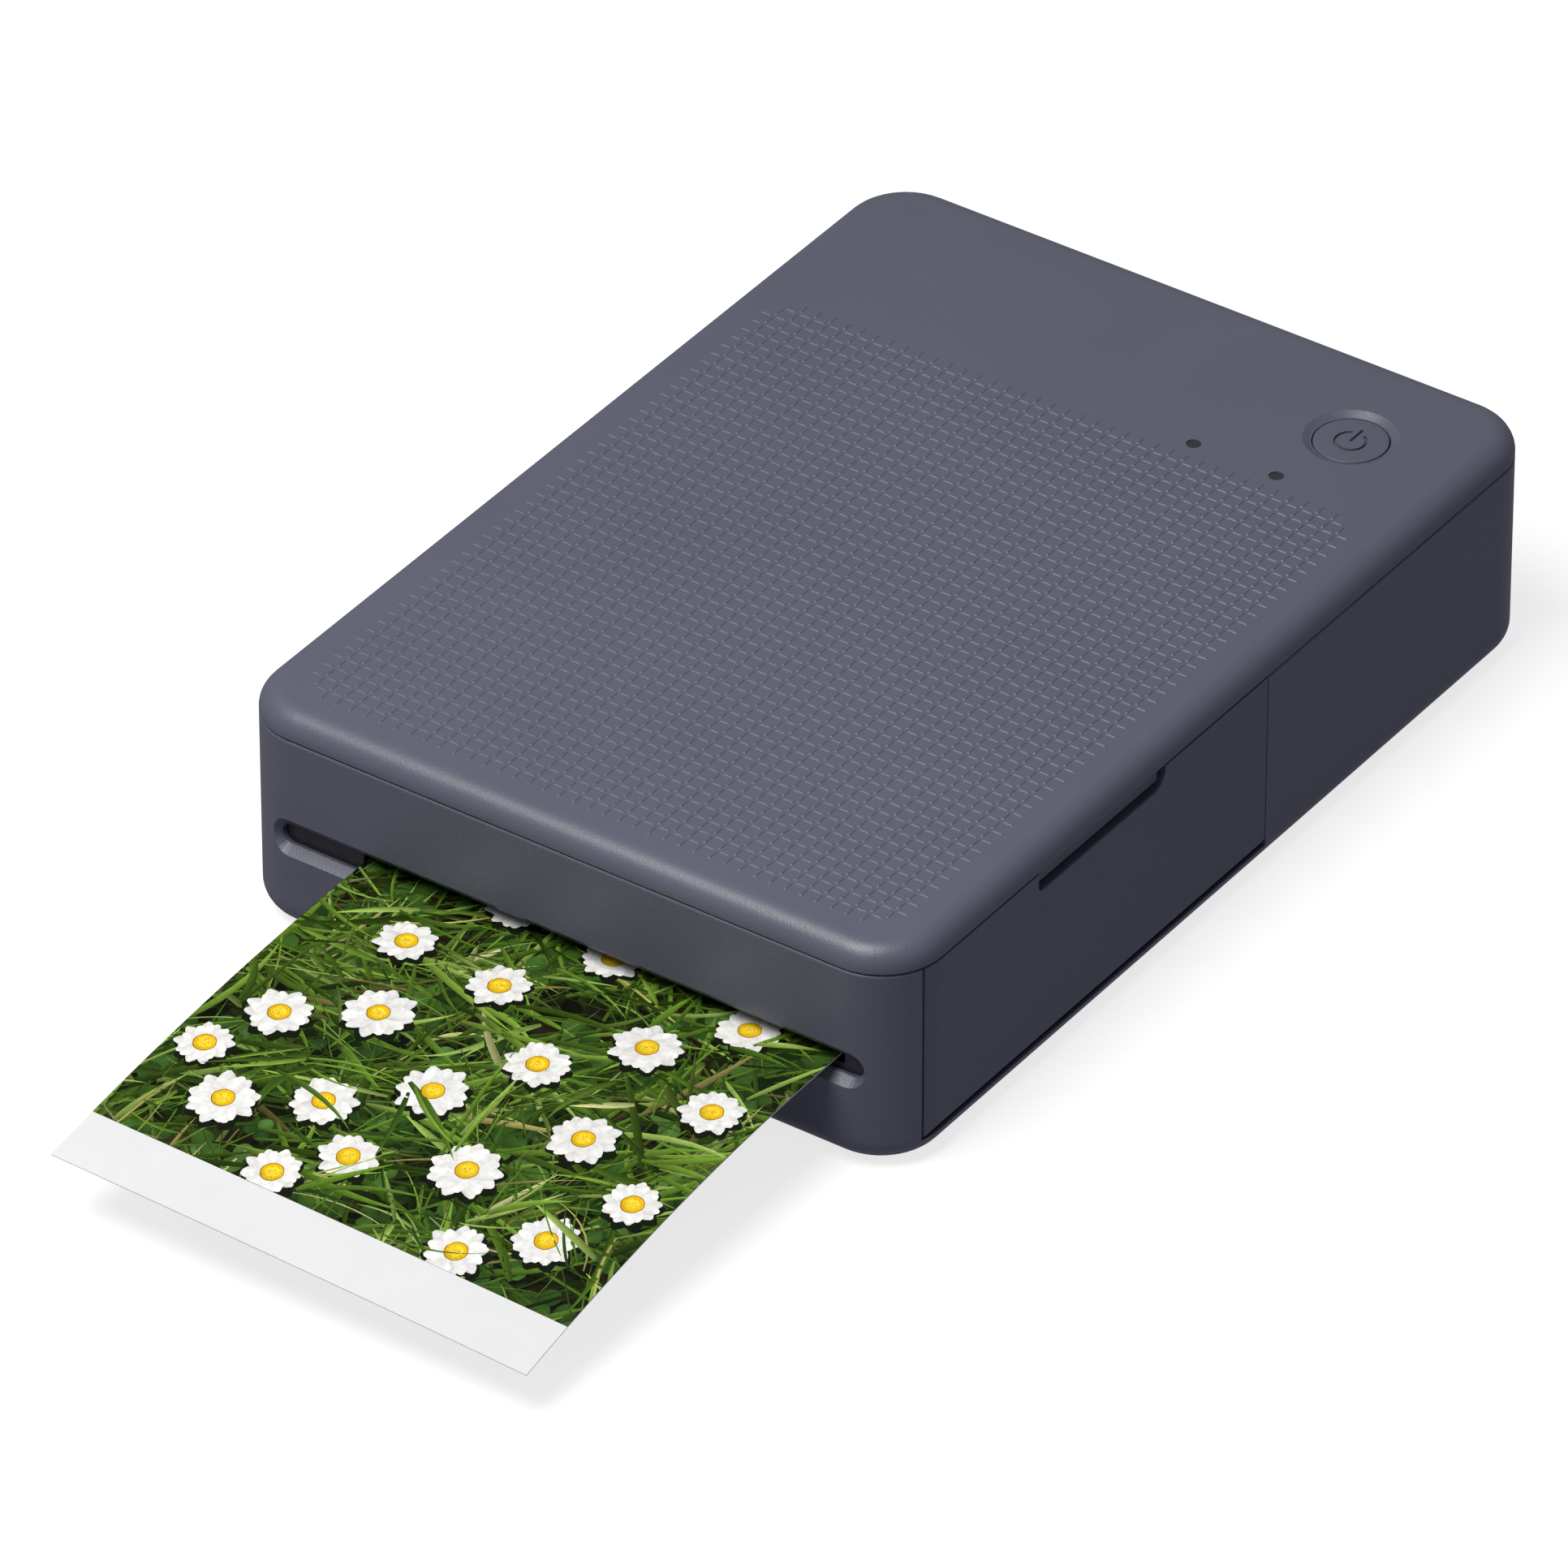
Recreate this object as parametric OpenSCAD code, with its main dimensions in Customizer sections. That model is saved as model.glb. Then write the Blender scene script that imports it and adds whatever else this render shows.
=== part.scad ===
/* [Housing] */
// Width of the housing, side to side
body_w = 102.2; // [102:0.1:103]
// Length of the housing, front to back
body_l = 145.8; // [145:0.1:147]
// Height of the housing without its feet
body_h = 32.9; // [32.6:0.1:33.2]
// Plan radius of the four upright corners
corner_r = 9; // [8:0.5:10]
// Radius of the bottom edge
bottom_edge_r = 3.7; // [3:0.1:4]
// Radius of the top edge of the cover
top_edge_r = 3.1; // [2.5:0.1:3.1]
// Wall thickness of the lower case
wall = 1.8; // [1.6:0.1:2]
// Height of the top of the lower case
rim_z = 29.3; // [29.2:0.1:29.4]
// Gap of the parting line under the cover
seam = 0.3; // [0.2:0.05:0.4]
// How far the rubber feet stand out of the bottom
foot_stand = 0.5; // [0.3:0.1:1]
// Radius of a rubber foot
foot_r = 4; // [3:0.5:5]

/* [Print slot] */
// Sideways place of the slot's middle
slot_x = 0.3; // [0:0.1:2]
// Width of the slot
slot_w = 89; // [86:1:90]
// Height of the slot's lower lip
slot_z = 12.5; // [12.4:0.05:12.8]
// Height of the slot's opening
slot_h = 3; // [2.8:0.05:3]
// Depth of the flared lead-out round the slot
flare_depth = 1.3; // [1:0.1:1.6]
// How much wider than the slot the flare is at its mouth, on each side
flare_grow = 1.3; // [0.8:0.1:1.5]
// How far the flare's mouth sits above the middle of the slot
flare_rise = 0.27; // [0:0.01:0.4]

/* [Ink door] */
// Front edge of the door
door_y0 = -66.8; // [-67:0.1:-66]
// Rear edge of the door
door_y1 = 8.9; // [8:0.1:9.5]
// Bottom edge of the door
door_z0 = 3; // [2.8:0.1:3.2]
// Thickness of the door's panel
door_t = 1.8; // [1.6:0.1:1.8]
// Radius of the rolled bottom edge that the door turns on
door_roll_r = 1.5; // [1.4:0.1:1.6]
// Front end of the finger notch
notch_y0 = -42.6; // [-44:0.1:-42]
// Rear end of the finger notch
notch_y1 = -14.3; // [-15:0.1:-14]
// Height of the finger notch's lower edge
notch_z = 26.4; // [26:0.1:27]

/* [Top cover] */
// Skin thickness of the cover
cover_skin = 1.5; // [1.3:0.1:1.6]
// Radius of the hinge knuckles and of the rim that the cover rolls round
knuckle_r = 1.6; // [1.5:0.1:1.7]
// Width of a hinge knuckle
knuckle_w = 10; // [8:1:12]
// Sideways distance of each knuckle from the middle
knuckle_x = 30; // [24:1:34]

/* [Controls] */
// Sideways place of the power button
button_x = 33.2; // [33:0.1:35]
// Lengthways place of the power button
button_y = 55.25; // [54:0.05:56]
// Radius of the button's cap
button_r = 5.05; // [5:0.05:5.5]
// Radius of the dish round the button
dish_r = 6.3; // [6.2:0.1:7.2]
// Radius of an indicator window
lamp_r = 1; // [0.8:0.1:1.2]

/* [Paper] */
// Width of a sheet
sheet_w = 72; // [70:0.5:72]
// Length of a sheet
sheet_l = 85; // [84:0.5:86]
// Thickness of a sheet
sheet_t = 0.3; // [0.2:0.05:0.3]
// Sideways place of the paper path's middle
path_x = 4.5; // [4:0.1:5]
// How far the finished print stands out of the front
print_out = 64.3; // [60:0.1:66]
// Radius of the droop of the finished print
droop_r = 360; // [330:10:400]
// Height of the middle of the print at the slot
print_z = 14; // [13.9:0.05:14.1]
// Number of sheets in the well
stack_n = 8; // [1:1:10]
// Height of the paper well's floor
well_z = 15; // [15:0.1:15.2]

/* [Print engine] */
// Radius of the platen roller
platen_r = 4.5; // [4.3:0.1:4.5]
// Radius of the exit roller
exit_r = 3; // [2.8:0.1:3]
// Radius of the pinch roller
pinch_r = 2.3; // [2.1:0.1:2.3]
// Radius of the pick-up tyres
pickup_r = 6; // [5.8:0.1:6]
// Outer radius of the two tubes of the ink cassette
tube_r = 5.5; // [5.2:0.1:5.5]
// Tooth module of the drive gears
gear_m = 0.5; // [0.5]
// Face width of the drive gears
gear_w = 3; // [2:0.5:3]

/* [Hidden] */
$fn = 64;
eps = 0.01;
run_gap = 0.05;
half_w = body_w / 2;
half_l = body_l / 2;
frame_y = (print_out) / 2;
cover_z = rim_z + seam;
in_w = body_w - 2 * wall;
in_l = body_l - 2 * wall;
in_r = corner_r - wall;
rim_edge_r = 0.35;
hinge_y = half_l - knuckle_r;
hinge_z = rim_z - knuckle_r;
pin_r = 0.8;
door_x = half_w - door_roll_r;
door_z = door_z0 + door_roll_r;
door_gap = 0.35;
door_pin_r = 0.45;
plate_t = 1;
left_x = path_x - sheet_w / 2 - 2.5;
right_x = path_x + sheet_w / 2 + 2.5;
path_x0 = path_x - sheet_w / 2 - 0.8;
path_x1 = path_x + sheet_w / 2 + 0.8;
gear_x = left_x - plate_t - 1.8 - gear_w;
bush_r = 2.4;
motor_yz = [-28, 7];
platen_yz = [-44, 7.8];
exit_yz = [-65, print_z - sheet_t / 2 - 0.1 - exit_r];
pinch_yz = [-65, print_z + sheet_t / 2 + 0.1 + pinch_r];
pickup_yz = [-14, well_z + 0.1 - pickup_r];
spool_z = 20.2;
supply_yz = [-31.3, spool_z];
head_yz = [-23.7, 24.6];
motor_n = 12;
feed_n = 17;
platen_n = 20;
pickup_n = 20;
pick_idler_n = 13;
exit_idler_n = 25;
exit_n = 16;
hub_n = 13;
function pitch_r(n) = n * gear_m / 2;
function unit(v) = v / norm(v);
// Centre of an idler that meshes with gears at a and b, on the side above the line between them
function idler_at(a, b, ra, rb) =
  let (d = norm(b - a), along = (d * d + ra * ra - rb * rb) / (2 * d), off = sqrt(ra * ra - along * along))
  let (u = unit(b - a), up = u[0] > 0 ? [-u[1], u[0]] : [u[1], -u[0]])
  a + along * u + off * up;
feed_yz = idler_at(motor_yz, platen_yz, pitch_r(motor_n + feed_n), pitch_r(feed_n + platen_n));
pick_idler_yz =
  idler_at(motor_yz, pickup_yz, pitch_r(motor_n + pick_idler_n), pitch_r(pick_idler_n + pickup_n));
exit_idler_yz =
  idler_at(platen_yz, exit_yz, pitch_r(platen_n + exit_idler_n), pitch_r(exit_idler_n + exit_n));
hub_reach = pitch_r(exit_idler_n + hub_n);
hub_rise = spool_z - exit_idler_yz[1];
takeup_yz = [exit_idler_yz[0] - sqrt(hub_reach * hub_reach - hub_rise * hub_rise), spool_z];
function heading(a, b) = atan2(b[1] - a[1], b[0] - a[0]);
// Turn of a gear of n2 teeth that meshes with one of n1 teeth turned by t1, from a to b
function mesh_turn(a, b, t1, n1, n2) =
  heading(a, b) + 180 - (0.5 - (heading(a, b) - t1) * n1 / 360) * 360 / n2;
platen_turn = 0;
feed_turn = mesh_turn(platen_yz, feed_yz, platen_turn, platen_n, feed_n);
motor_turn = mesh_turn(feed_yz, motor_yz, feed_turn, feed_n, motor_n);
pick_idler_turn = mesh_turn(motor_yz, pick_idler_yz, motor_turn, motor_n, pick_idler_n);
pickup_turn = mesh_turn(pick_idler_yz, pickup_yz, pick_idler_turn, pick_idler_n, pickup_n);
exit_idler_turn = mesh_turn(platen_yz, exit_idler_yz, platen_turn, platen_n, exit_idler_n);
exit_turn = mesh_turn(exit_idler_yz, exit_yz, exit_idler_turn, exit_idler_n, exit_n);
hub_turn = mesh_turn(exit_idler_yz, takeup_yz, exit_idler_turn, exit_idler_n, hub_n);
foot_x = 40;
foot_y = 61;
post_xy = [[-44.5, 66], [44.5, 66], [-45.5, -24], [46, 15]];
post_r = 2.6;
deck_z = 26.6;
deck_t = 1;
well_y0 = -20.3;
well_y1 = 66.6;
tub_t = 1.2;
liner_z = 28;
liner_t = 0.9;
board_z = 29.1;
board_t = 0.6;
skin_z = body_h - cover_skin;
lamp_y = 42.5;
lamp_xs = [17.4, 30.1];
dish_z = 32.3;
button_top = 32.4;
button_edge = 0.2;
arm_yz = [34, 26];
usb_x = 20;
usb_z = 7.8;
slate = [0.36, 0.37, 0.41];
shade = [0.25, 0.26, 0.3];
dark = [0.13, 0.13, 0.15];
steel = [0.72, 0.73, 0.75];
pom = [0.9, 0.9, 0.87];
rubber = [0.1, 0.1, 0.1];

// Puts the housing's own frame into the part's frame
module placed() translate([0, frame_y, foot_stand]) children();

module block(low, high) translate(low) cube(high - low);

// Extrudes a YZ outline along X
module along_x(x0, x1) translate([x0, 0, 0]) rotate([90, 0, 90]) linear_extrude(x1 - x0) children();

// Extrudes an XZ outline along Y
module along_y(y0, y1) translate([0, y1, 0]) rotate([90, 0, 0]) linear_extrude(y1 - y0) children();

module rod(yz, r, x0, x1) translate([x0, yz[0], yz[1]]) rotate([0, 90, 0]) cylinder(h = x1 - x0, r = r);

module rod_y(x, z, r, y0, y1) translate([x, y1, z]) rotate([90, 0, 0]) cylinder(h = y1 - y0, r = r);

module post(xy, r, z0, z1) translate([xy[0], xy[1], z0]) cylinder(h = z1 - z0, r = r);

module round_rect(w, l, r) {
  square([w - 2 * r, l], center = true);
  square([w, l - 2 * r], center = true);
  for (sx = [-1, 1], sy = [-1, 1]) translate([sx * (w / 2 - r), sy * (l / 2 - r)]) circle(r);
}

module slab(w, l, r, z0, z1) translate([0, 0, z0]) linear_extrude(z1 - z0) round_rect(w, l, r);

// Half outline of a tray: upright side at x = w, bottom edge rounded by e
module tray_half(w, z0, z1, e) {
  translate([0, z0]) square([w - e, z1 - z0]);
  translate([0, z0 + e]) square([w, z1 - z0 - e]);
  translate([w - e, z0 + e]) intersection() {
    circle(e);
    translate([0, -e]) square(e);
  }
}

module tray_outline(w, z0, z1, e) {
  tray_half(w, z0, z1, e);
  mirror([1, 0]) tray_half(w, z0, z1, e);
}

// Solid tray with upright corners of radius r and a bottom edge rounded by e
module tray(w, l, r, z0, z1, e) {
  along_y(-l / 2 + r, l / 2 - r) tray_outline(w / 2, z0, z1, e);
  along_x(-w / 2 + r, w / 2 - r) tray_outline(l / 2, z0, z1, e);
  for (sx = [-1, 1], sy = [-1, 1]) translate([sx * (w / 2 - r), sy * (l / 2 - r), 0]) rotate_extrude()
    tray_half(r, z0, z1, e);
}

// Row of points of one gear tooth flank pair, as involutes of a 20 degree gear with stub teeth
function flank(n, t, r) =
  let (rb = pitch_r(n) * cos(20), q = max(r, rb), a = sqrt(q * q / rb / rb - 1))
  let (inv = a * 180 / PI - atan(a), inv0 = tan(20) * 180 / PI - 20)
  t - inv + inv0;
function tooth(n, i) =
  let (r = pitch_r(n), half = 90 / n - 2.6 / n, tip = r + 0.8 * gear_m, foot = r - 1.15 * gear_m)
  let (rs = [foot, max(r * cos(20), foot) + 0.02, r, tip], c = i * 360 / n)
  [
    for (q = rs) q * [cos(c - flank(n, half, q)), sin(c - flank(n, half, q))],
    for (k = [3:-1:0]) rs[k] * [cos(c + flank(n, half, rs[k])), sin(c + flank(n, half, rs[k]))]
  ];

module gear(yz, n, turn, x0, w, bore) translate([x0, yz[0], yz[1]]) rotate([90, 0, 90])
  difference() {
    union() {
      linear_extrude(w) rotate(turn) polygon([for (i = [0:n - 1]) each tooth(n, i)]);
      if (bore > 0) cylinder(h = w + 0.4, r = bore + 0.9);
    }
    if (bore > 0) translate([0, 0, -1]) cylinder(h = w + 3, r = bore);
  }

module web_holes(yz, n, turn) {
  r = pitch_r(n);
  if (n > 18) for (a = [0:72:359]) translate([gear_x - 1, yz[0], yz[1]]) rotate([90, 0, 90])
    rotate(turn + a) translate([r * 0.62, 0, 0]) cylinder(h = gear_w + 2, r = r * 0.17, $fn = 24);
}

module cut_gear(yz, n, turn, bore) difference() {
  gear(yz, n, turn, gear_x, gear_w, bore);
  web_holes(yz, n, turn);
}

module slot_outline(grow) {
  r = slot_h / 2 + grow;
  translate([slot_x, slot_z + slot_h / 2]) {
    square([slot_w - slot_h, 2 * r], center = true);
    for (s = [-1, 1]) translate([s * (slot_w - slot_h) / 2, 0]) circle(r);
  }
}

module slot_flare() hull() {
  along_y(-half_l + flare_depth, -half_l + flare_depth + eps) slot_outline(0, $fn = 32);
  along_y(-half_l - 0.2, -half_l) translate([0, flare_rise]) slot_outline(flare_grow, $fn = 32);
}

module door_space(grow) block(
  [half_w - door_t - 0.2, door_y0 - grow, door_z0],
  [half_w + 2, door_y1 + grow / 2, rim_z + 1]
);

// Outside of the lower case, with the softened top edge under the parting line
module case_body() {
  tray(body_w, body_l, corner_r, 0, rim_z - 1, bottom_edge_r);
  mirror([0, 0, 1]) translate([0, 0, -rim_z]) tray(body_w, body_l, corner_r, 0, 1.2, rim_edge_r);
}

module bottom_case() color(slate) placed() difference() {
  union() {
    difference() {
      case_body();
      tray(in_w, in_l, in_r, wall, rim_z + 1, bottom_edge_r - wall + 0.2);
    }
    for (p = post_xy) post(p, post_r + 1.1, wall - eps, wall + 1.6);
    for (s = [-1, 1]) intersection() {
      block([s * knuckle_x - 9, hinge_y - 2.4, hinge_z - 3], [s * knuckle_x + 9, half_l, rim_z]);
      tray(body_w, body_l, corner_r, 0, rim_z, bottom_edge_r);
    }
    intersection() {
      union() {
        block([half_w - 5.5, door_y0 - 4.6, door_z0 - 1.4], [half_w, door_y0 - door_gap, 8]);
        block([half_w - 4, door_y1 + door_gap / 2, door_z0 - 1.4], [half_w, door_y1 + 3.3, 8]);
      }
      tray(body_w, body_l, corner_r, 0, rim_z, bottom_edge_r);
    }
    for (x = [-24, -8, 8, 24], y = [2, 30, 58]) post([x, y], 1.6, wall - eps, 5);
    for (y = [-50, -10, 30]) block([-half_w + 1, y, 8], [-half_w + wall + 0.9, y + 1, rim_z - 3.4]);
  }
  along_y(-half_l - 1, -half_l + wall + 1) slot_outline(0);
  slot_flare();
  door_space(door_gap);
  rod_y(door_x, door_z, door_roll_r + 0.3, door_y0 - door_gap, door_y1 + door_gap / 2);
  rod_y(door_x, door_z, door_pin_r + run_gap, door_y0 - 0.85, door_y1 + 2.9);
  along_x(-half_w, half_w) difference() {
    translate([hinge_y, hinge_z]) square([knuckle_r + 1, knuckle_r + 1]);
    translate([hinge_y, hinge_z]) circle(knuckle_r);
  }
  for (s = [-1, 1]) {
    x = s * knuckle_x;
    rod([hinge_y, hinge_z], knuckle_r + 0.3, x - knuckle_w / 2 - 0.3, x + knuckle_w / 2 + 0.3);
    block([x - knuckle_w / 2 - 0.3, hinge_y - knuckle_r - 0.3, hinge_z],
      [x + knuckle_w / 2 + 0.3, half_l + 1, rim_z + 1]);
    block([x - knuckle_w / 2 - 0.3, hinge_y + 0.4, hinge_z - 2],
      [x + knuckle_w / 2 + 0.3, half_l + 1, hinge_z + eps]);
    rod([hinge_y, hinge_z], pin_r + 0.02, x - 8, x + 8);
  }
  for (p = post_xy) {
    post(p, 1.2, -1, 4);
    post(p, 2.1, -1, 0.9);
  }
  for (sx = [-1, 1], sy = [-1, 1]) post([sx * foot_x, sy * foot_y], foot_r + run_gap, -1, 0.9);
  along_y(half_l - wall - 1, half_l + 1) translate([usb_x, usb_z]) {
    square([6.4, 3.4], center = true);
    for (s = [-1, 1]) translate([s * 3.2, 0]) circle(1.7);
  }
}

module rubber_feet() color(rubber) placed() for (sx = [-1, 1], sy = [-1, 1])
  post([sx * foot_x, sy * foot_y], foot_r, -foot_stand, 0.9);

module case_screws() color(steel) placed() for (p = post_xy) difference() {
  union() {
    post(p, 1.95, 0.1, 0.9);
    post(p, 0.95, 0.5, 9);
  }
  post(p, 0.75, -1, 0.5, $fn = 6);
}

module mid_frame() color(dark) placed() difference() {
  union() {
    slab(in_w - 0.6, in_l - 0.6, in_r - 0.3, deck_z, deck_z + deck_t);
    block([path_x0 - tub_t, well_y0 - tub_t, well_z - 1], [path_x1 + tub_t, well_y1 + tub_t, deck_z + eps]);
    for (p = post_xy) post(p, post_r, wall + 1.6, deck_z + eps);
    block([half_w - 4, notch_y0 + 0.9, notch_z + 1.1], [half_w - 0.6, notch_y1 - 1.1, rim_z - 0.1]);
    block([half_w - 4.2, notch_y0 + 0.9, deck_z], [half_w - 2.3, notch_y1 - 1.1, rim_z - 0.1]);
    for (y = [4, 24, 44]) {
      block([path_x1, y, well_z - 1], [path_x1 + 2.6, y + 1, deck_z + eps]);
      block([path_x0 - 2.2, y, well_z + 3], [path_x0, y + 1, deck_z + eps]);
    }
  }
  block([path_x0, well_y0, well_z], [path_x1, well_y1, deck_z + 3]);
  block([path_x0 + 1, -51.6, deck_z - 1], [path_x1 - 0.2, -21.7, deck_z + 3]);
  block([path_x0, well_y0 - tub_t - 1, well_z], [path_x1, well_y0 + 1, well_z + 0.8]);
  for (x = [-9, 18]) {
    block([x - 7, pickup_yz[0] - 6.5, well_z - 2], [x + 7, pickup_yz[0] + 6.5, well_z + eps]);
  }
  for (p = post_xy) post(p, 1, 1, 10);
  for (s = [-1, 1]) block([s * 28 - 3.6, -half_l + 1, deck_z - 1], [s * 28 + 3.6, -half_l + 4.6, deck_z + 3]);
  for (s = [-1, 1]) {
    block([s * knuckle_x - 9.3, hinge_y - 2.7, hinge_z - 5], [s * knuckle_x + 9.3, half_l, rim_z]);
  }
}

module plate_outline() {
  translate([-69, 3.2]) square([64, 8.7]);
  translate([-33, 3.2]) square([28, 10.6]);
  translate([-69, 3.2]) square([5.6, 18]);
  translate([head_yz[0] - 1.5, 3]) square([6.4, 23.2]);
}

module side_plate(x0, foot_dir) difference() {
  union() {
    along_x(x0, x0 + plate_t) plate_outline();
    for (y = [-59, -19.6]) {
      block([x0, y, wall], [x0 + plate_t, y + 6, 4]);
      xs = foot_dir > 0 ? [x0, x0 + 6] : [x0 - 5, x0 + plate_t];
      block([xs[0], y, wall], [xs[1], y + 6, wall + 1]);
    }
  }
  for (c = [platen_yz, exit_yz, pickup_yz, pinch_yz]) rod(c, bush_r - 0.6, x0 - 1, x0 + 2);
  rod(head_yz, 1, x0 - 1, x0 + 2);
  for (y = [-56, -16.6]) post([x0 + foot_dir * 3.6, y], 0.9, wall - 1, wall + 3);
}

module left_plate() color(dark) placed() difference() {
  union() {
    side_plate(left_x - plate_t, 1);
    along_x(left_x - plate_t, left_x) translate([takeup_yz[0] - 4, 10]) square([8.6, 14.4]);
  }
  rod(takeup_yz, bush_r - 0.6, left_x - 3, left_x + 1);
  rod(motor_yz, 2.2, left_x - 3, left_x + 1);
  for (c = [feed_yz, pick_idler_yz, exit_idler_yz]) rod(c, 0.7, left_x - 3, left_x + 1);
  for (c = [platen_yz, exit_yz, pickup_yz, pinch_yz]) rod(c, bush_r - 0.6, left_x - 2, left_x + 1);
}

module right_plate() color(dark) placed() side_plate(right_x, -1);

module plate_screws() color(steel) placed() for (y = [-56, -16.6]) {
  for (x = [left_x - plate_t + 3.6, right_x - 3.6]) {
    post([x, y], 1.5, wall + 1, wall + 1.35);
    post([x, y], 0.85, wall, wall + 1.2);
  }
}

// A flanged bush in a side plate, outside when side is 1 on the right or -1 on the left
module bush(yz, x0, side) difference() {
  union() {
    rod(yz, bush_r - 0.6, x0, x0 + plate_t);
    rod(yz, bush_r, side > 0 ? x0 + plate_t : x0 - 0.6, side > 0 ? x0 + plate_t + 0.6 : x0);
  }
  rod(yz, 1.2 + run_gap, x0 - 1, x0 + 3);
}

module roller_bushes() color(dark) placed() {
  for (c = [platen_yz, exit_yz, pickup_yz, pinch_yz]) {
    bush(c, left_x - plate_t, -1);
    bush(c, right_x, 1);
  }
  bush(takeup_yz, left_x - plate_t, -1);
}

module gear_studs() color(steel) placed() for (c = [feed_yz, pick_idler_yz, exit_idler_yz]) {
  rod(c, 0.7, gear_x - 0.3, left_x);
  rod(c, 1.3, left_x - plate_t - 1, left_x - plate_t);
  rod(c, 1.3, gear_x - 0.8, gear_x - 0.3);
}

module drive_motor() color(steel) placed() difference() {
  union() {
    intersection() {
      rod(motor_yz, 6, left_x, left_x + 20);
      block([left_x - 1, motor_yz[0] - 6, motor_yz[1] - 4.9],
        [left_x + 21, motor_yz[0] + 6, motor_yz[1] + 4.9]);
    }
    rod(motor_yz, 2, left_x - plate_t, left_x + 1);
    rod(motor_yz, 2.4, left_x + 19, left_x + 21.2);
    for (s = [-1, 1]) block([left_x + 19, motor_yz[0] + 3.6 * s - 0.3, motor_yz[1] - 1],
      [left_x + 22.6, motor_yz[0] + 3.6 * s + 0.3, motor_yz[1] + 1]);
  }
  rod(motor_yz, 0.8, left_x - 3, left_x + 6);
}

module motor_pinion() color(dark) placed() union() {
  gear(motor_yz, motor_n, motor_turn, gear_x, gear_w, 0);
  rod(motor_yz, 0.75, gear_x, left_x + 4);
}

module feed_idler() color(pom) placed() cut_gear(feed_yz, feed_n, feed_turn, 0.7 + run_gap);

module pickup_idler() color(pom) placed() {
  cut_gear(pick_idler_yz, pick_idler_n, pick_idler_turn, 0.7 + run_gap);
}

module exit_idler() color(dark) placed() {
  cut_gear(exit_idler_yz, exit_idler_n, exit_idler_turn, 0.7 + run_gap);
}

// A stepped steel shaft: the middle runs between the side plates and the ends run in the bushes
module shaft(yz, mid_r, x_left, x_right) {
  rod(yz, mid_r, left_x + 0.3, right_x - 0.3);
  rod(yz, 1.2, x_left, x_right);
}

module platen_shaft() color(steel) placed() shaft(platen_yz, 1.6, gear_x - 0.5, right_x + 2);

module tyre(yz, r, bore, x0, x1) difference() {
  rod(yz, r, x0, x1);
  rod(yz, bore, x0 - 1, x1 + 1);
}

module platen_rubber() color(rubber) placed() tyre(platen_yz, platen_r, 1.6, path_x0 + 0.4, path_x1 - 0.4);

module platen_gear() color(dark) placed() cut_gear(platen_yz, platen_n, platen_turn, 1.2);

module exit_roller() color(dark) placed() union() {
  shaft(exit_yz, 1.6, gear_x - 0.5, right_x + 2);
  for (x = [-22, 4.5, 31]) rod(exit_yz, exit_r, x - 7, x + 7);
}

module exit_gear() color(dark) placed() cut_gear(exit_yz, exit_n, exit_turn, 1.2);

module pinch_roller() color(rubber) placed() union() {
  shaft(pinch_yz, 1.4, left_x - plate_t - 0.9, right_x + 2);
  for (x = [-22, 4.5, 31]) rod(pinch_yz, pinch_r, x - 6, x + 6);
}

module pickup_shaft() color(steel) placed() shaft(pickup_yz, 1.6, gear_x - 0.5, right_x + 2);

module pickup_tyres() color(rubber) placed() for (x = [-9, 18]) tyre(pickup_yz, pickup_r, 1.6, x - 6, x + 6);

module pickup_gear() color(pom) placed() cut_gear(pickup_yz, pickup_n, pickup_turn, 1.2);

module takeup_hub() color(dark) placed() union() {
  gear(takeup_yz, hub_n, hub_turn, gear_x, gear_w, 0);
  rod(takeup_yz, 1.2, gear_x, left_x + 0.4);
  rod(takeup_yz, 1.5, left_x + 0.2, left_x + 4.2);
  along_x(left_x + 0.2, left_x + 4.2) translate(takeup_yz) square([3.6, 0.8], center = true);
}

module feed_guide() color(dark) placed() along_x(left_x, right_x) polygon([
  [well_y0 - tub_t - 0.1, well_z - 1.1], [well_y0 - tub_t - 0.1, well_z - 0.1],
  [-38.6, 12.6], [-38.6, 11.9], [-34.5, 12.4]
]);

module exit_guide() color(dark) placed() difference() {
  along_x(left_x, right_x) polygon([[-61, 12.2], [-61, 13.45], [-53, 13.45], [-52.2, 13], [-52.2, 12.2]]);
  for (x = [-25:10:35]) block([x, -59.4, 11], [x + 6, -54, 13]);
}

module head_rod() color(steel) placed() union() {
  rod(head_yz, 0.95, left_x - plate_t, right_x + plate_t);
  rod(head_yz, 1.8, left_x - plate_t - 0.6, left_x - plate_t);
  rod(head_yz, 1.8, right_x + plate_t, right_x + plate_t + 0.6);
}

module head_carrier() color(steel) placed() difference() {
  union() {
    block([path_x0 + 1.4, -50.6, 26.4], [path_x1 - 0.6, head_yz[0], 27.2]);
    for (x = [path_x0 + 1.4, path_x1 - 6.6]) rod(head_yz, 1.9, x, x + 6);
    for (x = [path_x0 + 1.4, path_x1 - 6.6]) {
      block([x, head_yz[0] - 1.4, head_yz[1]], [x + 6, head_yz[0] + 0.6, 27.2]);
    }
    block([path_x0 + 1.4, -50.6, 27.2 - eps], [path_x1 - 0.6, -49.8, 27.6]);
  }
  rod(head_yz, 1, path_x0, path_x1);
  for (x = [-20:10:30]) {
    block([x - 0.8, -47, 26], [x + 6.8, -44.4, 28]);
    block([x - 0.8, -41.6, 26], [x + 6.8, -39, 28]);
  }
  post([-27, -34], 1.6, 26, 28);
  post([37, -34], 1.6, 26, 28);
}

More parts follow.
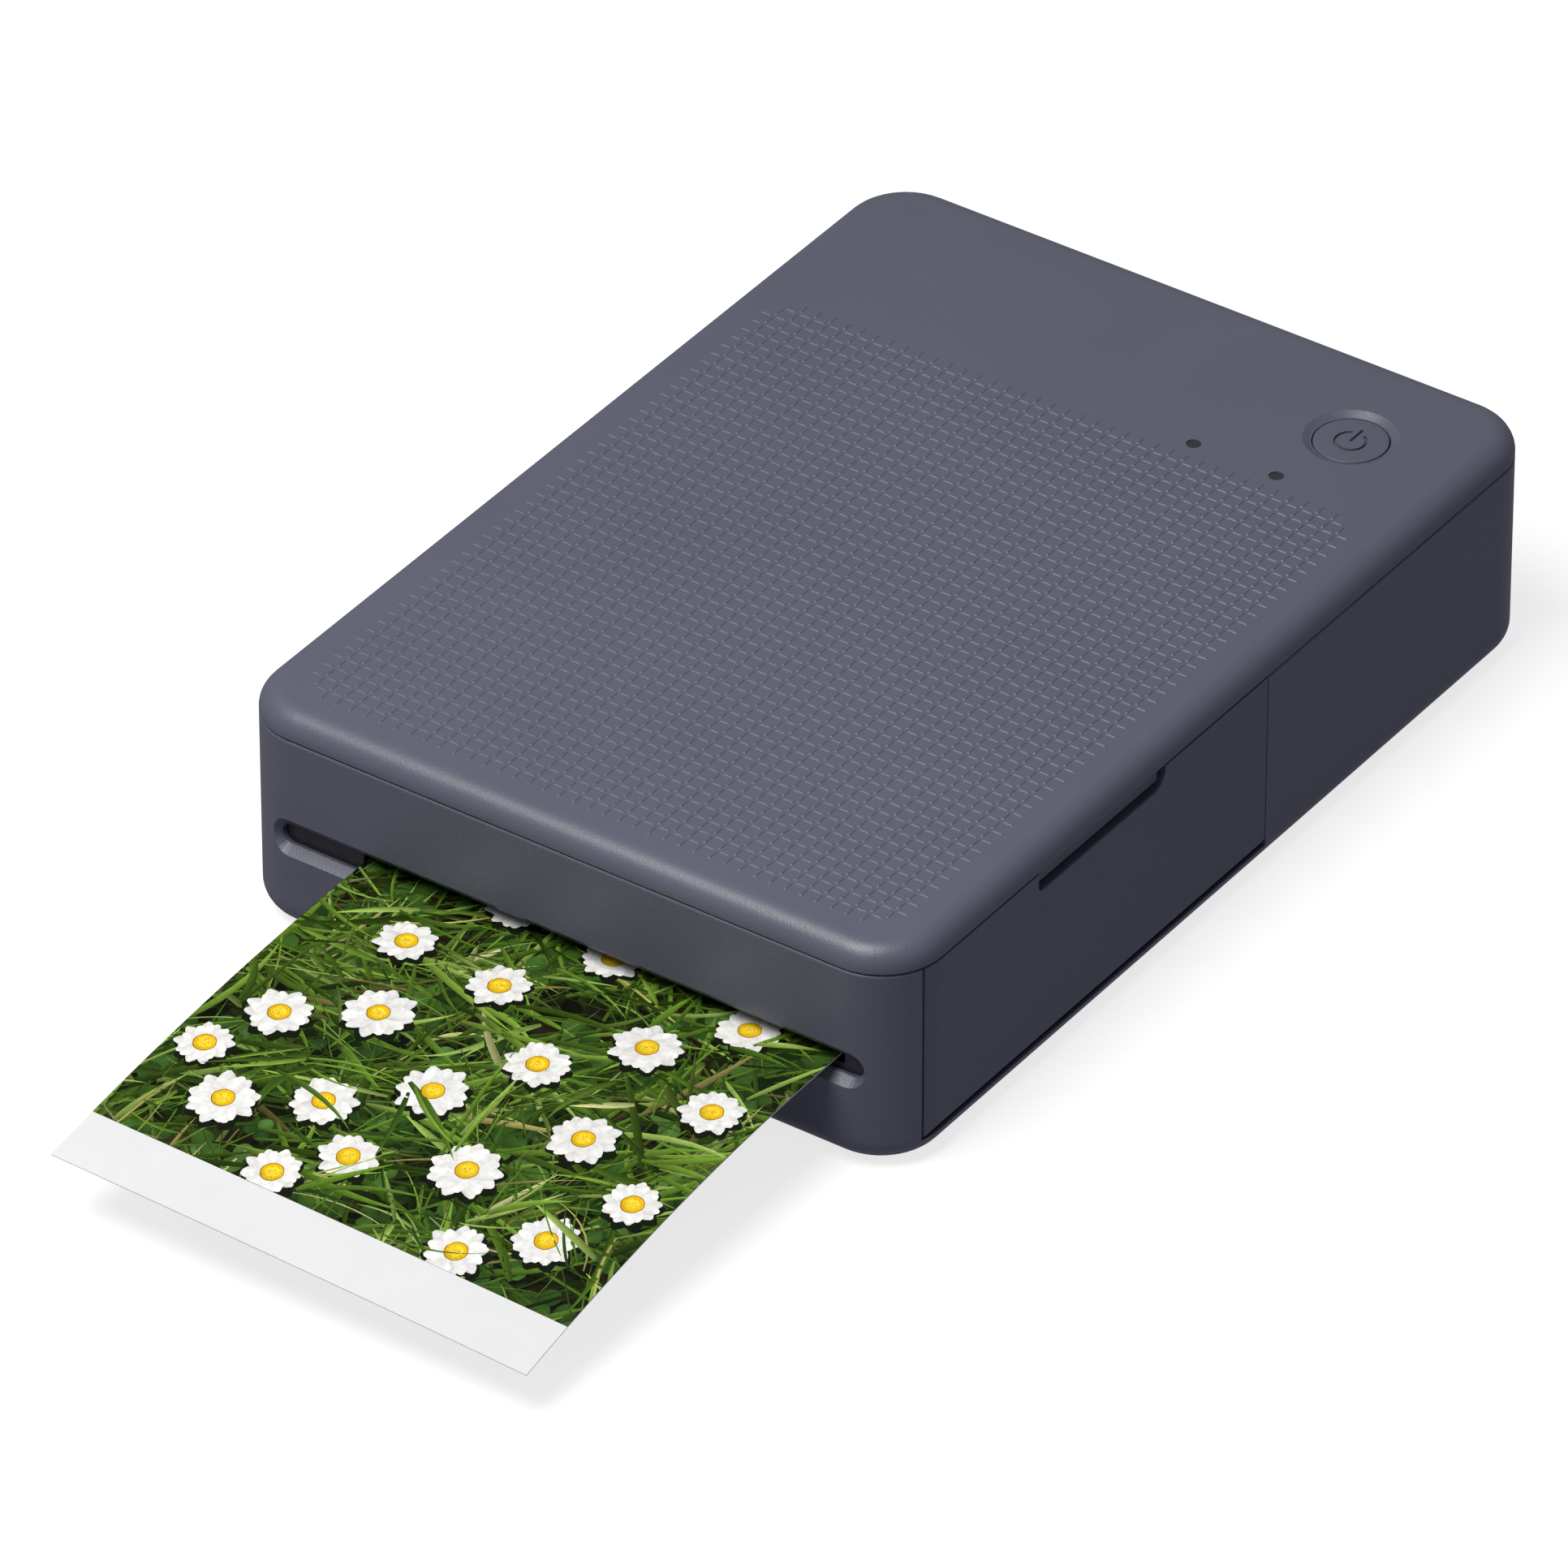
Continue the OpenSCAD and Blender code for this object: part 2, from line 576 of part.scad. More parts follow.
module thermal_head() color([0.8, 0.78, 0.72]) placed() along_x(path_x0 + 1.4, path_x1 - 0.8) union() {
  translate([-47.6, 14.4]) square([8, 1.8]);
  translate([-46.4, 13.75]) square([5.4, 0.7]);
  translate([-44, 14.75]) circle(1.2);
  for (y = [-47.6, -45, -42.4, -40.6]) translate([y, 16]) square([1, 6]);
  translate([-44.6, 16]) square([1.8, 10.4]);
}

module cassette_tube(yz) difference() {
  rod(yz, tube_r, left_x + 1, right_x + 1.2);
  rod(yz, tube_r - 0.8, left_x + 2, right_x - 0.8);
  rod(yz, 2.5 + run_gap, left_x, left_x + 3);
  rod(yz, 1.5 + run_gap, right_x - 2, right_x + 1);
}

module cassette_shell() color([0.3, 0.31, 0.34]) placed() difference() {
  union() {
    cassette_tube(supply_yz);
    cassette_tube(takeup_yz);
    block([right_x + 1.2, takeup_yz[0] - tube_r + 0.4, 15], [right_x + 4.4, supply_yz[0] + tube_r, 25.6]);
  }
  block([path_x0 + 0.6, supply_yz[0] - tube_r - 1, 14], [path_x1 - 0.6, supply_yz[0] - 0.6, 17.6]);
  block([path_x0 + 0.6, takeup_yz[0] + 0.6, 14], [path_x1 - 0.6, takeup_yz[0] + tube_r + 1, 19.8]);
  block([right_x + 2.4, -48, 17.5], [right_x + 5, -40, 23.5]);
}

function ribbon_pts() = [
  [supply_yz[0] - 2.2, 16.1], [-40, 12.55], [-47.9, 12.55], [takeup_yz[0] + 2.55, spool_z + 1.9]
];

module ink_ribbon() color([0.16, 0.12, 0.2]) placed() along_x(path_x0 + 1, path_x1 - 1) polygon([
  for (p = ribbon_pts()) p,
  for (k = [3:-1:0]) ribbon_pts()[k] + [0, -0.1]
]);

module core(yz) difference() {
  union() {
    rod(yz, 2.5, left_x + 1.1, left_x + 2.6);
    rod(yz, 2.2, left_x + 2.5, right_x - 1);
    rod(yz, 1.5, right_x - 1.6, right_x + 0.8);
  }
  rod(yz, 2, left_x, left_x + 5);
}

module supply_core() color(pom) placed() core(supply_yz);

module takeup_core() color(pom) placed() core(takeup_yz);

module supply_roll() color([0.2, 0.14, 0.24]) placed() tyre(supply_yz, 3.9, 2.2, path_x0 + 1, path_x1 - 1);

module takeup_roll() color([0.2, 0.14, 0.24]) placed() tyre(takeup_yz, 3, 2.2, path_x0 + 1, path_x1 - 1);

module ink_door() color(shade) placed() difference() {
  union() {
    intersection() {
      tray(body_w, body_l, corner_r, 0, rim_z, bottom_edge_r);
      block([half_w - door_t, door_y0, door_z], [half_w + 1, door_y1, rim_z]);
    }
    intersection() {
      rod_y(door_x, door_z, door_roll_r - 0.02, door_y0, door_y1);
      tray(body_w, body_l, corner_r, 0, rim_z, bottom_edge_r - 1.5);
    }
    rod_y(door_x, door_z, door_pin_r, door_y0 - 0.75, door_y1 + 2.6);
    for (y = [door_y0 + 2.4, door_y1 - 6]) {
      block([half_w - 4.2, y - 1.1, 24.4], [half_w - 1.6, y + 1.1, 25.4]);
      block([half_w - 4.2, y - 1.1, 24.4], [half_w - 3.4, y + 1.1, 26.2]);
    }
    for (y = [-60, -48, -10, 2]) block([half_w - door_t - 0.9, y, 7], [half_w - 1, y + 0.9, 24]);
    block([half_w - door_t - 0.9, notch_y0 - 3, notch_z - 1.5], [half_w - 1, notch_y1 + 3, notch_z - 0.6]);
  }
  along_x(half_w - 4.6, half_w + 1) union() {
    translate([notch_y0, notch_z + 2.5]) square([notch_y1 - notch_y0, 4]);
    translate([notch_y0, notch_z + 1]) square([notch_y1 - notch_y0 - 2.5, 5]);
    translate([notch_y0 + 1, notch_z]) square([notch_y1 - notch_y0 - 3.5, 5]);
    translate([notch_y0 + 1, notch_z + 1]) circle(1);
    intersection() {
      translate([notch_y1 - 2.5, notch_z + 2.5]) circle(2.5);
      translate([notch_y1 - 2.5, notch_z]) square(2.5);
    }
  }
}

module main_board() color([0.08, 0.3, 0.2]) placed() difference() {
  block([-33, -3, 5], [41.5, 68, 6.2]);
  for (x = [-24, -8, 8, 24], y = [2, 30, 58]) post([x, y], 0.9, 4, 7);
  for (x = [-33, 42]) block([x - 3, 40, 4], [x + 3, 46, 7]);
}

module board_parts() color(dark) placed() {
  block([-2, 12, 6.2], [12, 26, 7.4]);
  block([16, 10, 6.2], [24, 22, 7.2]);
  block([-20, 34, 6.2], [-6, 52, 8.6]);
  block([28, 34, 6.2], [36, 52, 9]);
  for (x = [-27:6:-15]) block([x, 8, 6.2], [x + 3.4, 12, 7.8]);
  for (x = [-29, -23]) post([x, 20], 2.4, 6.2, 11.4);
  block([30, -2.4, 6.2], [40, 1.6, 8.4]);
  block([-31, -2.4, 6.2], [-27, 3, 10]);
}

module usb_socket() color(steel) placed() difference() {
  along_y(half_l - 8.4, half_l - 1.1) translate([usb_x, usb_z]) {
    square([5.6, 3.2], center = true);
    for (s = [-1, 1]) translate([s * 2.8, 0]) circle(1.6);
  }
  along_y(half_l - 6.9, half_l) translate([usb_x, usb_z]) {
    square([5.6, 2.6], center = true);
    for (s = [-1, 1]) translate([s * 2.8, 0]) circle(1.3);
  }
}

module antenna_board() color([0.1, 0.3, 0.22]) placed() union() {
  block([right_x + 3.6, 24.8, 9], [right_x + 4.4, 43.2, 23]);
  block([right_x + 4.4, 27, 11], [right_x + 5.2, 38, 20]);
}

module battery_pack() color([0.16, 0.2, 0.3]) placed() union() {
  for (z = [8.2, 19.6]) rod_y(-41.9, z, 5.6, -3, 58);
  block([-47, 0, 8.2], [-36.8, 55, 19.6]);
}

module blank_sheets() color([0.97, 0.97, 0.96]) placed() for (i = [0:stack_n - 1])
  block([path_x - sheet_w / 2, -19.6, well_z + 0.2 + i * sheet_t],
    [path_x + sheet_w / 2, -19.6 + sheet_l, well_z + 0.18 + (i + 1) * sheet_t]);

module photo_print() color([0.35, 0.5, 0.2]) placed() along_x(path_x - sheet_w / 2, path_x + sheet_w / 2) {
  translate([-half_l, print_z - sheet_t / 2]) square([sheet_l - print_out - 0.4, sheet_t]);
  intersection() {
    translate([-half_l, print_z - droop_r]) difference() {
      circle(droop_r + sheet_t / 2, $fn = 720);
      circle(droop_r - sheet_t / 2, $fn = 720);
    }
    translate([-half_l - print_out, 0]) square([print_out, body_h]);
  }
}

module cover_body() mirror([0, 0, 1]) translate([0, 0, -body_h])
  tray(body_w, body_l, corner_r, 0, body_h - cover_z, top_edge_r);

module top_cover() color(slate) placed() difference() {
  union() {
    difference() {
      cover_body();
      slab(body_w - 4.4, body_l - 4.4, corner_r - 2.2, cover_z - 1, skin_z);
    }
    for (s = [-1, 1]) {
      x = s * knuckle_x;
      rod([hinge_y, hinge_z], knuckle_r, x - knuckle_w / 2, x + knuckle_w / 2);
      block([x - knuckle_w / 2, hinge_y - knuckle_r, hinge_z],
        [x + knuckle_w / 2, half_l, cover_z + eps]);
    }
    for (s = [-1, 1]) block([s * 28 - 3, -half_l + 2.4, deck_z - 0.8], [s * 28 + 3, -half_l + 3.6, skin_z]);
    for (x = [-40:16:40]) block([x - 0.5, -half_l + 2, liner_z + liner_t], [x + 0.5, 34, skin_z + eps]);
    for (y = [-60:18:34]) {
      block([-half_w + 5, y - 0.5, liner_z + liner_t], [half_w - 5, y + 0.5, skin_z + eps]);
    }
    for (x = [-40, 44.4], y = [-62, 0, 60]) post([x, y], 2.2, liner_z + liner_t, skin_z + eps);
    translate([button_x, button_y, 0]) post([0, 0], 7.4, skin_z - 0.6, skin_z + eps);
    for (x = lamp_xs) post([x, lamp_y], lamp_r + 0.8, skin_z - 0.5, skin_z + eps);
  }
  for (s = [-1, 1]) rod([hinge_y, hinge_z], pin_r + run_gap, s * knuckle_x - 8, s * knuckle_x + 8);
  translate([button_x, button_y, 0]) {
    translate([0, 0, dish_z]) cylinder(h = body_h - dish_z + eps, r1 = dish_r - 1, r2 = dish_r);
    translate([0, 0, 20]) cylinder(h = 20, r = button_r + 0.1);
    translate([0, 0, 20]) cylinder(h = skin_z - 20, r = 6.2);
  }
  for (x = lamp_xs) post([x, lamp_y], lamp_r, 20, body_h + 1);
  for (x = [-40, 44.4], y = [-62, 0, 60]) post([x, y], 0.8, liner_z, skin_z - 0.2);
}

module hinge_pins() color(steel) placed() for (s = [-1, 1])
  rod([hinge_y, hinge_z], pin_r, s * knuckle_x - 7.8, s * knuckle_x + 7.8);

module cover_liner() color(dark) placed() difference() {
  union() {
    slab(94, 136, 6, liner_z, liner_z + liner_t);
    block([12, 37, liner_z + liner_t - eps], [13, 62, board_z]);
    block([41, 37, liner_z + liner_t - eps], [42, 62, board_z]);
    for (x = [path_x - 14, path_x + 13]) difference() {
      block([x, arm_yz[0] - 2.4, arm_yz[1] - 1], [x + 1.2, arm_yz[0] + 2.4, liner_z + eps]);
      rod(arm_yz, 0.8, x - 1, x + 3);
    }
  }
  for (x = [-40, 44.4], y = [-62, 0, 60]) post([x, y], 1, liner_z - 1, liner_z + 2);
  for (s = [-1, 1]) block([s * 28 - 3.6, -70, liner_z - 1], [s * 28 + 3.6, -66, liner_z + 3]);
  block([46, -44, liner_z - 1], [50, -12, liner_z + 3]);
  for (y = [-50:5:-25]) block([-20, y, liner_z - 1], [28, y + 1.6, liner_z + 3]);
}

module liner_screws() color(steel) placed() for (x = [-40, 44.4], y = [-62, 0, 60]) {
  post([x, y], 1.7, liner_z - 0.35, liner_z);
  post([x, y], 0.75, liner_z - 0.1, liner_z + 2.9);
}

module control_board() color([0.08, 0.3, 0.2]) placed() block([12, 37, board_z], [42, 62, board_z + board_t]);

module power_switch() color(steel) placed() union() {
  block([button_x - 2.2, button_y - 2.2, board_z + board_t], [button_x + 2.2, button_y + 2.2, board_z + 0.8]);
  post([button_x, button_y], 1, board_z + 0.8, board_z + 0.95);
}

module indicator_lamps() color([0.95, 0.93, 0.8]) placed() for (x = lamp_xs)
  block([x - 0.8, lamp_y - 0.5, board_z + board_t], [x + 0.8, lamp_y + 0.5, board_z + board_t + 0.6]);

module light_pipes() color([0.8, 0.82, 0.85]) placed() for (x = lamp_xs) {
  post([x, lamp_y], lamp_r - run_gap, board_z + board_t + 0.7, body_h - 0.15);
  post([x, lamp_y], lamp_r + 0.7, board_z + board_t + 0.7, skin_z - 0.5);
}

module power_button() color(slate) placed() translate([button_x, button_y, 0]) rotate_extrude() {
  translate([0, 31]) square([button_r - button_edge, button_top - 31]);
  translate([0, 31]) square([button_r, button_top - 31 - button_edge]);
  translate([button_r - button_edge, button_top - button_edge]) circle(button_edge);
  translate([0, 30.7]) square([5.9, 0.5]);
  translate([0, board_z + 1.35]) square([1, 1]);
}

module press_rod() color(steel) placed() rod(arm_yz, 0.75, path_x - 14, path_x + 14.2);

module press_arm() color(dark) placed() difference() {
  union() {
    rod(arm_yz, 1.7, path_x - 12, path_x + 12);
    along_x(path_x - 12, path_x + 12) polygon([
      [arm_yz[0], arm_yz[1] - 1.6], [arm_yz[0], arm_yz[1] + 0.6], [-12, 19.6], [-16, 19.4],
      [-17.2, 20], [-17.8, 19.4], [-16, well_z + 0.5 + stack_n * sheet_t + 0.2],
      [-11, well_z + 0.5 + stack_n * sheet_t + 0.2]
    ]);
  }
  rod(arm_yz, 0.75 + run_gap, path_x - 16, path_x + 16);
  for (y = [-6:9:21]) block([path_x - 9, y, 14], [path_x + 9, y + 6, 30]);
}

bottom_case();
rubber_feet();
case_screws();
mid_frame();
left_plate();
right_plate();
plate_screws();
roller_bushes();
gear_studs();
drive_motor();
motor_pinion();
feed_idler();
pickup_idler();
exit_idler();
platen_shaft();
platen_rubber();
platen_gear();
exit_roller();
exit_gear();
pinch_roller();
pickup_shaft();
pickup_tyres();
pickup_gear();
takeup_hub();
feed_guide();
exit_guide();
head_rod();
head_carrier();
thermal_head();
cassette_shell();
ink_ribbon();
supply_core();
supply_roll();
takeup_core();
takeup_roll();
ink_door();
main_board();
board_parts();
usb_socket();
antenna_board();
battery_pack();
blank_sheets();
photo_print();
top_cover();
hinge_pins();
cover_liner();
liner_screws();
control_board();
power_switch();
indicator_lamps();
light_pipes();
power_button();
press_arm();
press_rod();
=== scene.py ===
"""Looks of a compact photo printer with a hinged lid, an ink door and a print on its way out.

Lengths in the classes are in millimetres in the part's frame: X to the right, Y to the rear, Z up,
and the origin on the standing surface under the middle of the part. Meshes are written in metres.
"""

import logging
import math
import random
from dataclasses import dataclass
from enum import Enum
from typing import Any

import bmesh
import bpy
from mathutils import Matrix, Vector

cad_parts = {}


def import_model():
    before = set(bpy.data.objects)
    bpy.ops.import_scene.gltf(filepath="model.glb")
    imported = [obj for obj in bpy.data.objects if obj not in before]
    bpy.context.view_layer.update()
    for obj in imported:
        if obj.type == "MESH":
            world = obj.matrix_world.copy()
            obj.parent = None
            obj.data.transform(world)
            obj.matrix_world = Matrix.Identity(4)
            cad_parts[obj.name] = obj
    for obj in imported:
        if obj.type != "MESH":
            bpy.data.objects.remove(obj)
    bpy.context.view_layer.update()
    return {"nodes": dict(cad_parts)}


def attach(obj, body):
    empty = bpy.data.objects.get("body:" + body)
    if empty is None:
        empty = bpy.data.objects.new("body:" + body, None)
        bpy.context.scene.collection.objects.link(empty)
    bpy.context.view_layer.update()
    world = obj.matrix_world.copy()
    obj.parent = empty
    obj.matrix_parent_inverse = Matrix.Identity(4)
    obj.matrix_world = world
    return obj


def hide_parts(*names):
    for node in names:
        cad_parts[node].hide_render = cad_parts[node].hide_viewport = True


Shape = bmesh.types.BMesh
Colour = tuple[float, float, float, float]
Place = tuple[float, float, float]
Point = tuple[float, float]

LOG = logging.getLogger("photo_printer")
MM = 0.001
SHARP_DEG = 32.0
GRID_DIGITS = 4
ORIGIN: Place = (0.0, 0.0, 0.0)
UP: Place = (0.0, 0.0, 1.0)
EVEN: Place = (1.0, 1.0, 1.0)
WHITE: Colour = (1.0, 1.0, 1.0, 1.0)
# The sRGB curve: its straight part's end and slope, then its offset and power.
SRGB_KNEE, SRGB_SLOPE, SRGB_OFFSET, SRGB_POWER = 0.04045, 12.92, 0.055, 2.4
# Sockets of the Mix node when it mixes colours.
FACTOR, FIRST, SECOND, MIXED = 0, 6, 7, 2
# Nearly all of a noise pattern's values lie in this span, and each finer octave has this share.
NOISE_SPAN: Point = (0.3, 0.7)
OCTAVE_SHARE = 0.55


def linear(hex_colour: str) -> Colour:
    """Turns an sRGB hex colour into a linear one.

    Args:
        hex_colour: Six hex digits after a hash sign.

    Returns:
        Red, green, blue and alpha, all linear.
    """
    parts = [int(hex_colour[i:i + 2], 16) / 255 for i in (1, 3, 5)]
    r, g, b = (c / SRGB_SLOPE if c <= SRGB_KNEE
               else ((c + SRGB_OFFSET) / (1 + SRGB_OFFSET)) ** SRGB_POWER for c in parts)
    return (r, g, b, 1.0)


def per_metre(size_mm: float) -> float:
    """Scale of a pattern on Object coordinates whose features are this many millimetres apart."""
    return 1.0 / (size_mm * MM)


class Graph:
    """The node tree of a material or world."""

    def __init__(self, owner: bpy.types.Material | bpy.types.World) -> None:
        """Empties the owner's tree and adds its output.

        Args:
            owner: The material or world.
        """
        owner.use_nodes = True
        self.tree = owner.node_tree
        self.tree.nodes.clear()
        self.output = self.tree.nodes.new("ShaderNodeOutput" + type(owner).__name__)

    def feed(self, node: bpy.types.Node, inputs: dict[str | int, Any]) -> None:
        """Sets a node's inputs, or links them.

        Args:
            node: The node.
            inputs: For each input socket, a value or the output socket that feeds it.
        """
        for name, value in inputs.items():
            if isinstance(value, bpy.types.NodeSocket):
                self.tree.links.new(value, node.inputs[name])
            else:
                node.inputs[name].default_value = value

    def add(
        self, kind: str, inputs: dict[str | int, Any] | None = None, give: str | int = 0,
        **settings: Any,
    ) -> bpy.types.NodeSocket:
        """Adds one node with its settings and links.

        Args:
            kind: The shader node's type, such as TexNoise.
            inputs: For each input socket, a value or the output socket that feeds it.
            give: The output socket to return.
            settings: Values for the node's own attributes.

        Returns:
            That output of the new node.
        """
        made = self.tree.nodes.new("ShaderNode" + kind)
        for name, value in settings.items():
            setattr(made, name, value)
        self.feed(made, inputs or {})
        return made.outputs[give]


class Coat(Graph):
    """A material in hand, with its Principled shader and its Object coordinates."""

    def __init__(self, made: bpy.types.Material) -> None:
        """Adds the shader and the coordinates.

        Args:
            made: The new material.
        """
        super().__init__(made)
        surface = self.add("BsdfPrincipled")
        self.shader = surface.node
        self.feed(self.output, {"Surface": surface})
        self.place = self.add("TexCoord", give="Object")

    def paint(self, inputs: dict[str | int, Any]) -> None:
        """Sets or links the shader's inputs."""
        self.feed(self.shader, inputs)


@dataclass(frozen=True)
class Pattern:
    """A noise pattern of a real size, and what it does to a surface: its colour drifts between the
    finish's two tones, its roughness swings below and above the finish's, or it gets a relief."""

    size_mm: float
    depth_mm: float = 0.0
    tones: bool = False
    swing: Point | None = None
    detail: float = 2.0
    span: Point = NOISE_SPAN
    stretch: Place = EVEN

    def apply(self, coat: Coat, finish: "Finish") -> None:
        """Adds the pattern to a material.

        Args:
            coat: The material in hand.
            finish: The finish that gives the tones and the roughness.
        """
        place = coat.place
        if self.stretch != EVEN:
            place = coat.add("Mapping", {"Vector": place, "Scale": self.stretch})
        grey = coat.add("TexNoise", {
            "Vector": place, "Scale": per_metre(self.size_mm), "Detail": self.detail,
            "Roughness": OCTAVE_SHARE,
        })
        ends = {"Value": grey, "From Min": self.span[0], "From Max": self.span[1]}
        if self.tones:
            coat.paint({"Base Color": coat.add("Mix", {
                FACTOR: coat.add("MapRange", ends),
                FIRST: linear(finish.low), SECOND: linear(finish.high),
            }, MIXED, data_type="RGBA")})
        if self.swing is not None:
            less, more = self.swing
            coat.paint({"Roughness": coat.add("MapRange", ends | {
                "To Min": finish.roughness - less, "To Max": finish.roughness + more,
            })})
        if self.depth_mm:
            relief = {"Height": grey, "Strength": 1.0, "Distance": self.depth_mm * MM}
            coat.paint({"Normal": coat.add("Bump", relief)})


@dataclass(frozen=True)
class Finish:
    """A finish of one Principled shader, with its colour and that colour's darker and lighter
    tones; the kinds below give it their patterns."""

    name: str
    colour: str
    low: str = "#000000"
    high: str = "#FFFFFF"
    roughness: float = 0.5
    metallic: float = 0.0
    ior: float = 1.5
    gloss: float = 0.5
    clear: float = 0.0

    def material(self) -> bpy.types.Material:
        """Makes the finish's material, or returns the one already made.

        Returns:
            A material named for the finish.
        """
        made = bpy.data.materials.get(self.name)
        if made is not None:
            return made
        made = bpy.data.materials.new(self.name)
        made.diffuse_color = linear(self.colour)
        coat = Coat(made)
        coat.paint({
            "Base Color": linear(self.colour), "Roughness": self.roughness,
            "Metallic": self.metallic, "Specular IOR Level": self.gloss,
            "Transmission Weight": self.clear,
        })
        if not self.metallic:
            coat.paint({"IOR": self.ior})
        for pattern in self.patterns():
            pattern.apply(coat, self)
        self.dress(coat)
        return made

    def patterns(self) -> tuple[Pattern, ...]:
        """The noise patterns of this kind of finish."""
        return ()

    def dress(self, coat: Coat) -> None:
        """Adds what the patterns don't give."""


@dataclass(frozen=True)
class MouldedPlastic(Finish):
    """ABS moulded against a spark-eroded tool: a matt grain that breaks the light into a soft,
    speckled sheen, and a hardly visible drift of tone from the flow of the melt."""

    grain_mm: float = 0.32
    grain_depth_mm: float = 0.01
    flow_mm: float = 34.0

    def patterns(self) -> tuple[Pattern, ...]:
        """The flow's drift of tone, and the grain with its uneven gloss."""
        return (Pattern(self.flow_mm, tones=True),
                Pattern(self.grain_mm, self.grain_depth_mm, swing=(0.06, 0.06), detail=3.0))


@dataclass(frozen=True)
class ZonedPlastic(MouldedPlastic):
    """The inner frame's black moulding, with a small slate tab beside the ink door."""

    tab_from_x_mm: float = 47.6
    tab: str = "#FFFFFF"

    def dress(self, coat: Coat) -> None:
        """Colours the tab.

        Args:
            coat: The material in hand.
        """
        across = coat.add("SeparateXYZ", {"Vector": coat.place}, "X")
        outside = coat.add("Math", {0: across, 1: self.tab_from_x_mm * MM},
                           operation="GREATER_THAN")
        black = coat.shader.inputs["Base Color"].links[0].from_socket
        coat.paint({"Base Color": coat.add("Mix", {
            FACTOR: outside, FIRST: black, SECOND: linear(self.tab),
        }, MIXED, data_type="RGBA")})


@dataclass(frozen=True)
class TurnedPlastic(Finish):
    """Acetal, moulded smooth: waxy, with faint flow marks."""

    flow_mm: float = 2.4
    flow_span: Point = (0.42, 0.58)
    ripple_mm: float = 0.5
    ripple_depth_mm: float = 0.004

    def patterns(self) -> tuple[Pattern, ...]:
        """The flow marks in tone and gloss, and a faint ripple."""
        return (Pattern(self.flow_mm, tones=True),
                Pattern(self.flow_mm, swing=(0.05, 0.08), span=self.flow_span),
                Pattern(self.ripple_mm, self.ripple_depth_mm))


class Direction(Enum):
    """An axis that a brushed, ground or wound finish runs along."""

    X = (1.0, 0.0, 0.0)
    Y = (0.0, 1.0, 0.0)
    Z = (0.0, 0.0, 1.0)


@dataclass(frozen=True)
class LinedMetal(Finish):
    """Rolled, ground or drawn metal: fine lines along one direction that stretch its highlights."""

    metallic: float = 1.0
    run: Direction = Direction.Y
    line_mm: float = 0.12
    length_mm: float = 9.0
    depth_mm: float = 0.002

    def patterns(self) -> tuple[Pattern, ...]:
        """The lines, in tone, gloss and relief."""
        stretch = tuple(self.line_mm / self.length_mm if along else 1.0 for along in self.run.value)
        return (Pattern(self.line_mm, self.depth_mm, tones=True, swing=(0.08, 0.1), detail=3.0,
                        stretch=stretch),)


@dataclass(frozen=True)
class Rubber(Finish):
    """Moulded or ground rubber: nearly black and dull, with a grey bloom and a pitted grain."""

    bloom_mm: float = 5.0
    pit_mm: float = 0.3
    pit_depth_mm: float = 0.012

    def patterns(self) -> tuple[Pattern, ...]:
        """The bloom and the grain."""
        return (Pattern(self.bloom_mm, tones=True, detail=4.0),
                Pattern(self.pit_mm, self.pit_depth_mm))


@dataclass(frozen=True)
class ClearPlastic(Finish):
    """Tinted clear polycarbonate: a dark, glossy lens that lets a little light through."""

    clear: float = 0.35
    wave_mm: float = 1.2
    wave_depth_mm: float = 0.004

    def patterns(self) -> tuple[Pattern, ...]:
        """The faint unevenness of the moulded face."""
        return (Pattern(self.wave_mm, self.wave_depth_mm),)


@dataclass(frozen=True)
class PhotoStock(Finish):
    """Resin-coated photo paper: even white, with the faintest cloud in its tone."""

    gloss: float = 0.2
    cloud_mm: float = 6.0

    def patterns(self) -> tuple[Pattern, ...]:
        """The cloud of tone."""
        return (Pattern(self.cloud_mm, tones=True),)


@dataclass(frozen=True)
class PrintedCoat(Finish):
    """Dye in photo paper under a clear laminate: the colour sits in the piece's own attribute, and
    the laminate gives one smooth gloss over it."""

    attribute: str = "dye"
    mottle_mm: float = 0.7
    mottle: Point = (0.88, 1.1)

    def dress(self, coat: Coat) -> None:
        """Reads the dye from the attribute and mottles it slightly.

        Args:
            coat: The material in hand.
        """
        dye = coat.add("Attribute", attribute_name=self.attribute)
        cloud = coat.add("TexNoise", {
            "Vector": coat.place, "Scale": per_metre(self.mottle_mm), "Detail": 3.0,
            "Roughness": OCTAVE_SHARE,
        })
        mottle = coat.add("MapRange", {
            "Value": cloud, "From Min": NOISE_SPAN[0], "From Max": NOISE_SPAN[1],
            "To Min": self.mottle[0], "To Max": self.mottle[1],
        })
        coat.paint({"Base Color": coat.add("Mix", {FACTOR: 1.0, FIRST: dye, SECOND: mottle}, MIXED,
                                           data_type="RGBA", blend_type="MULTIPLY")})


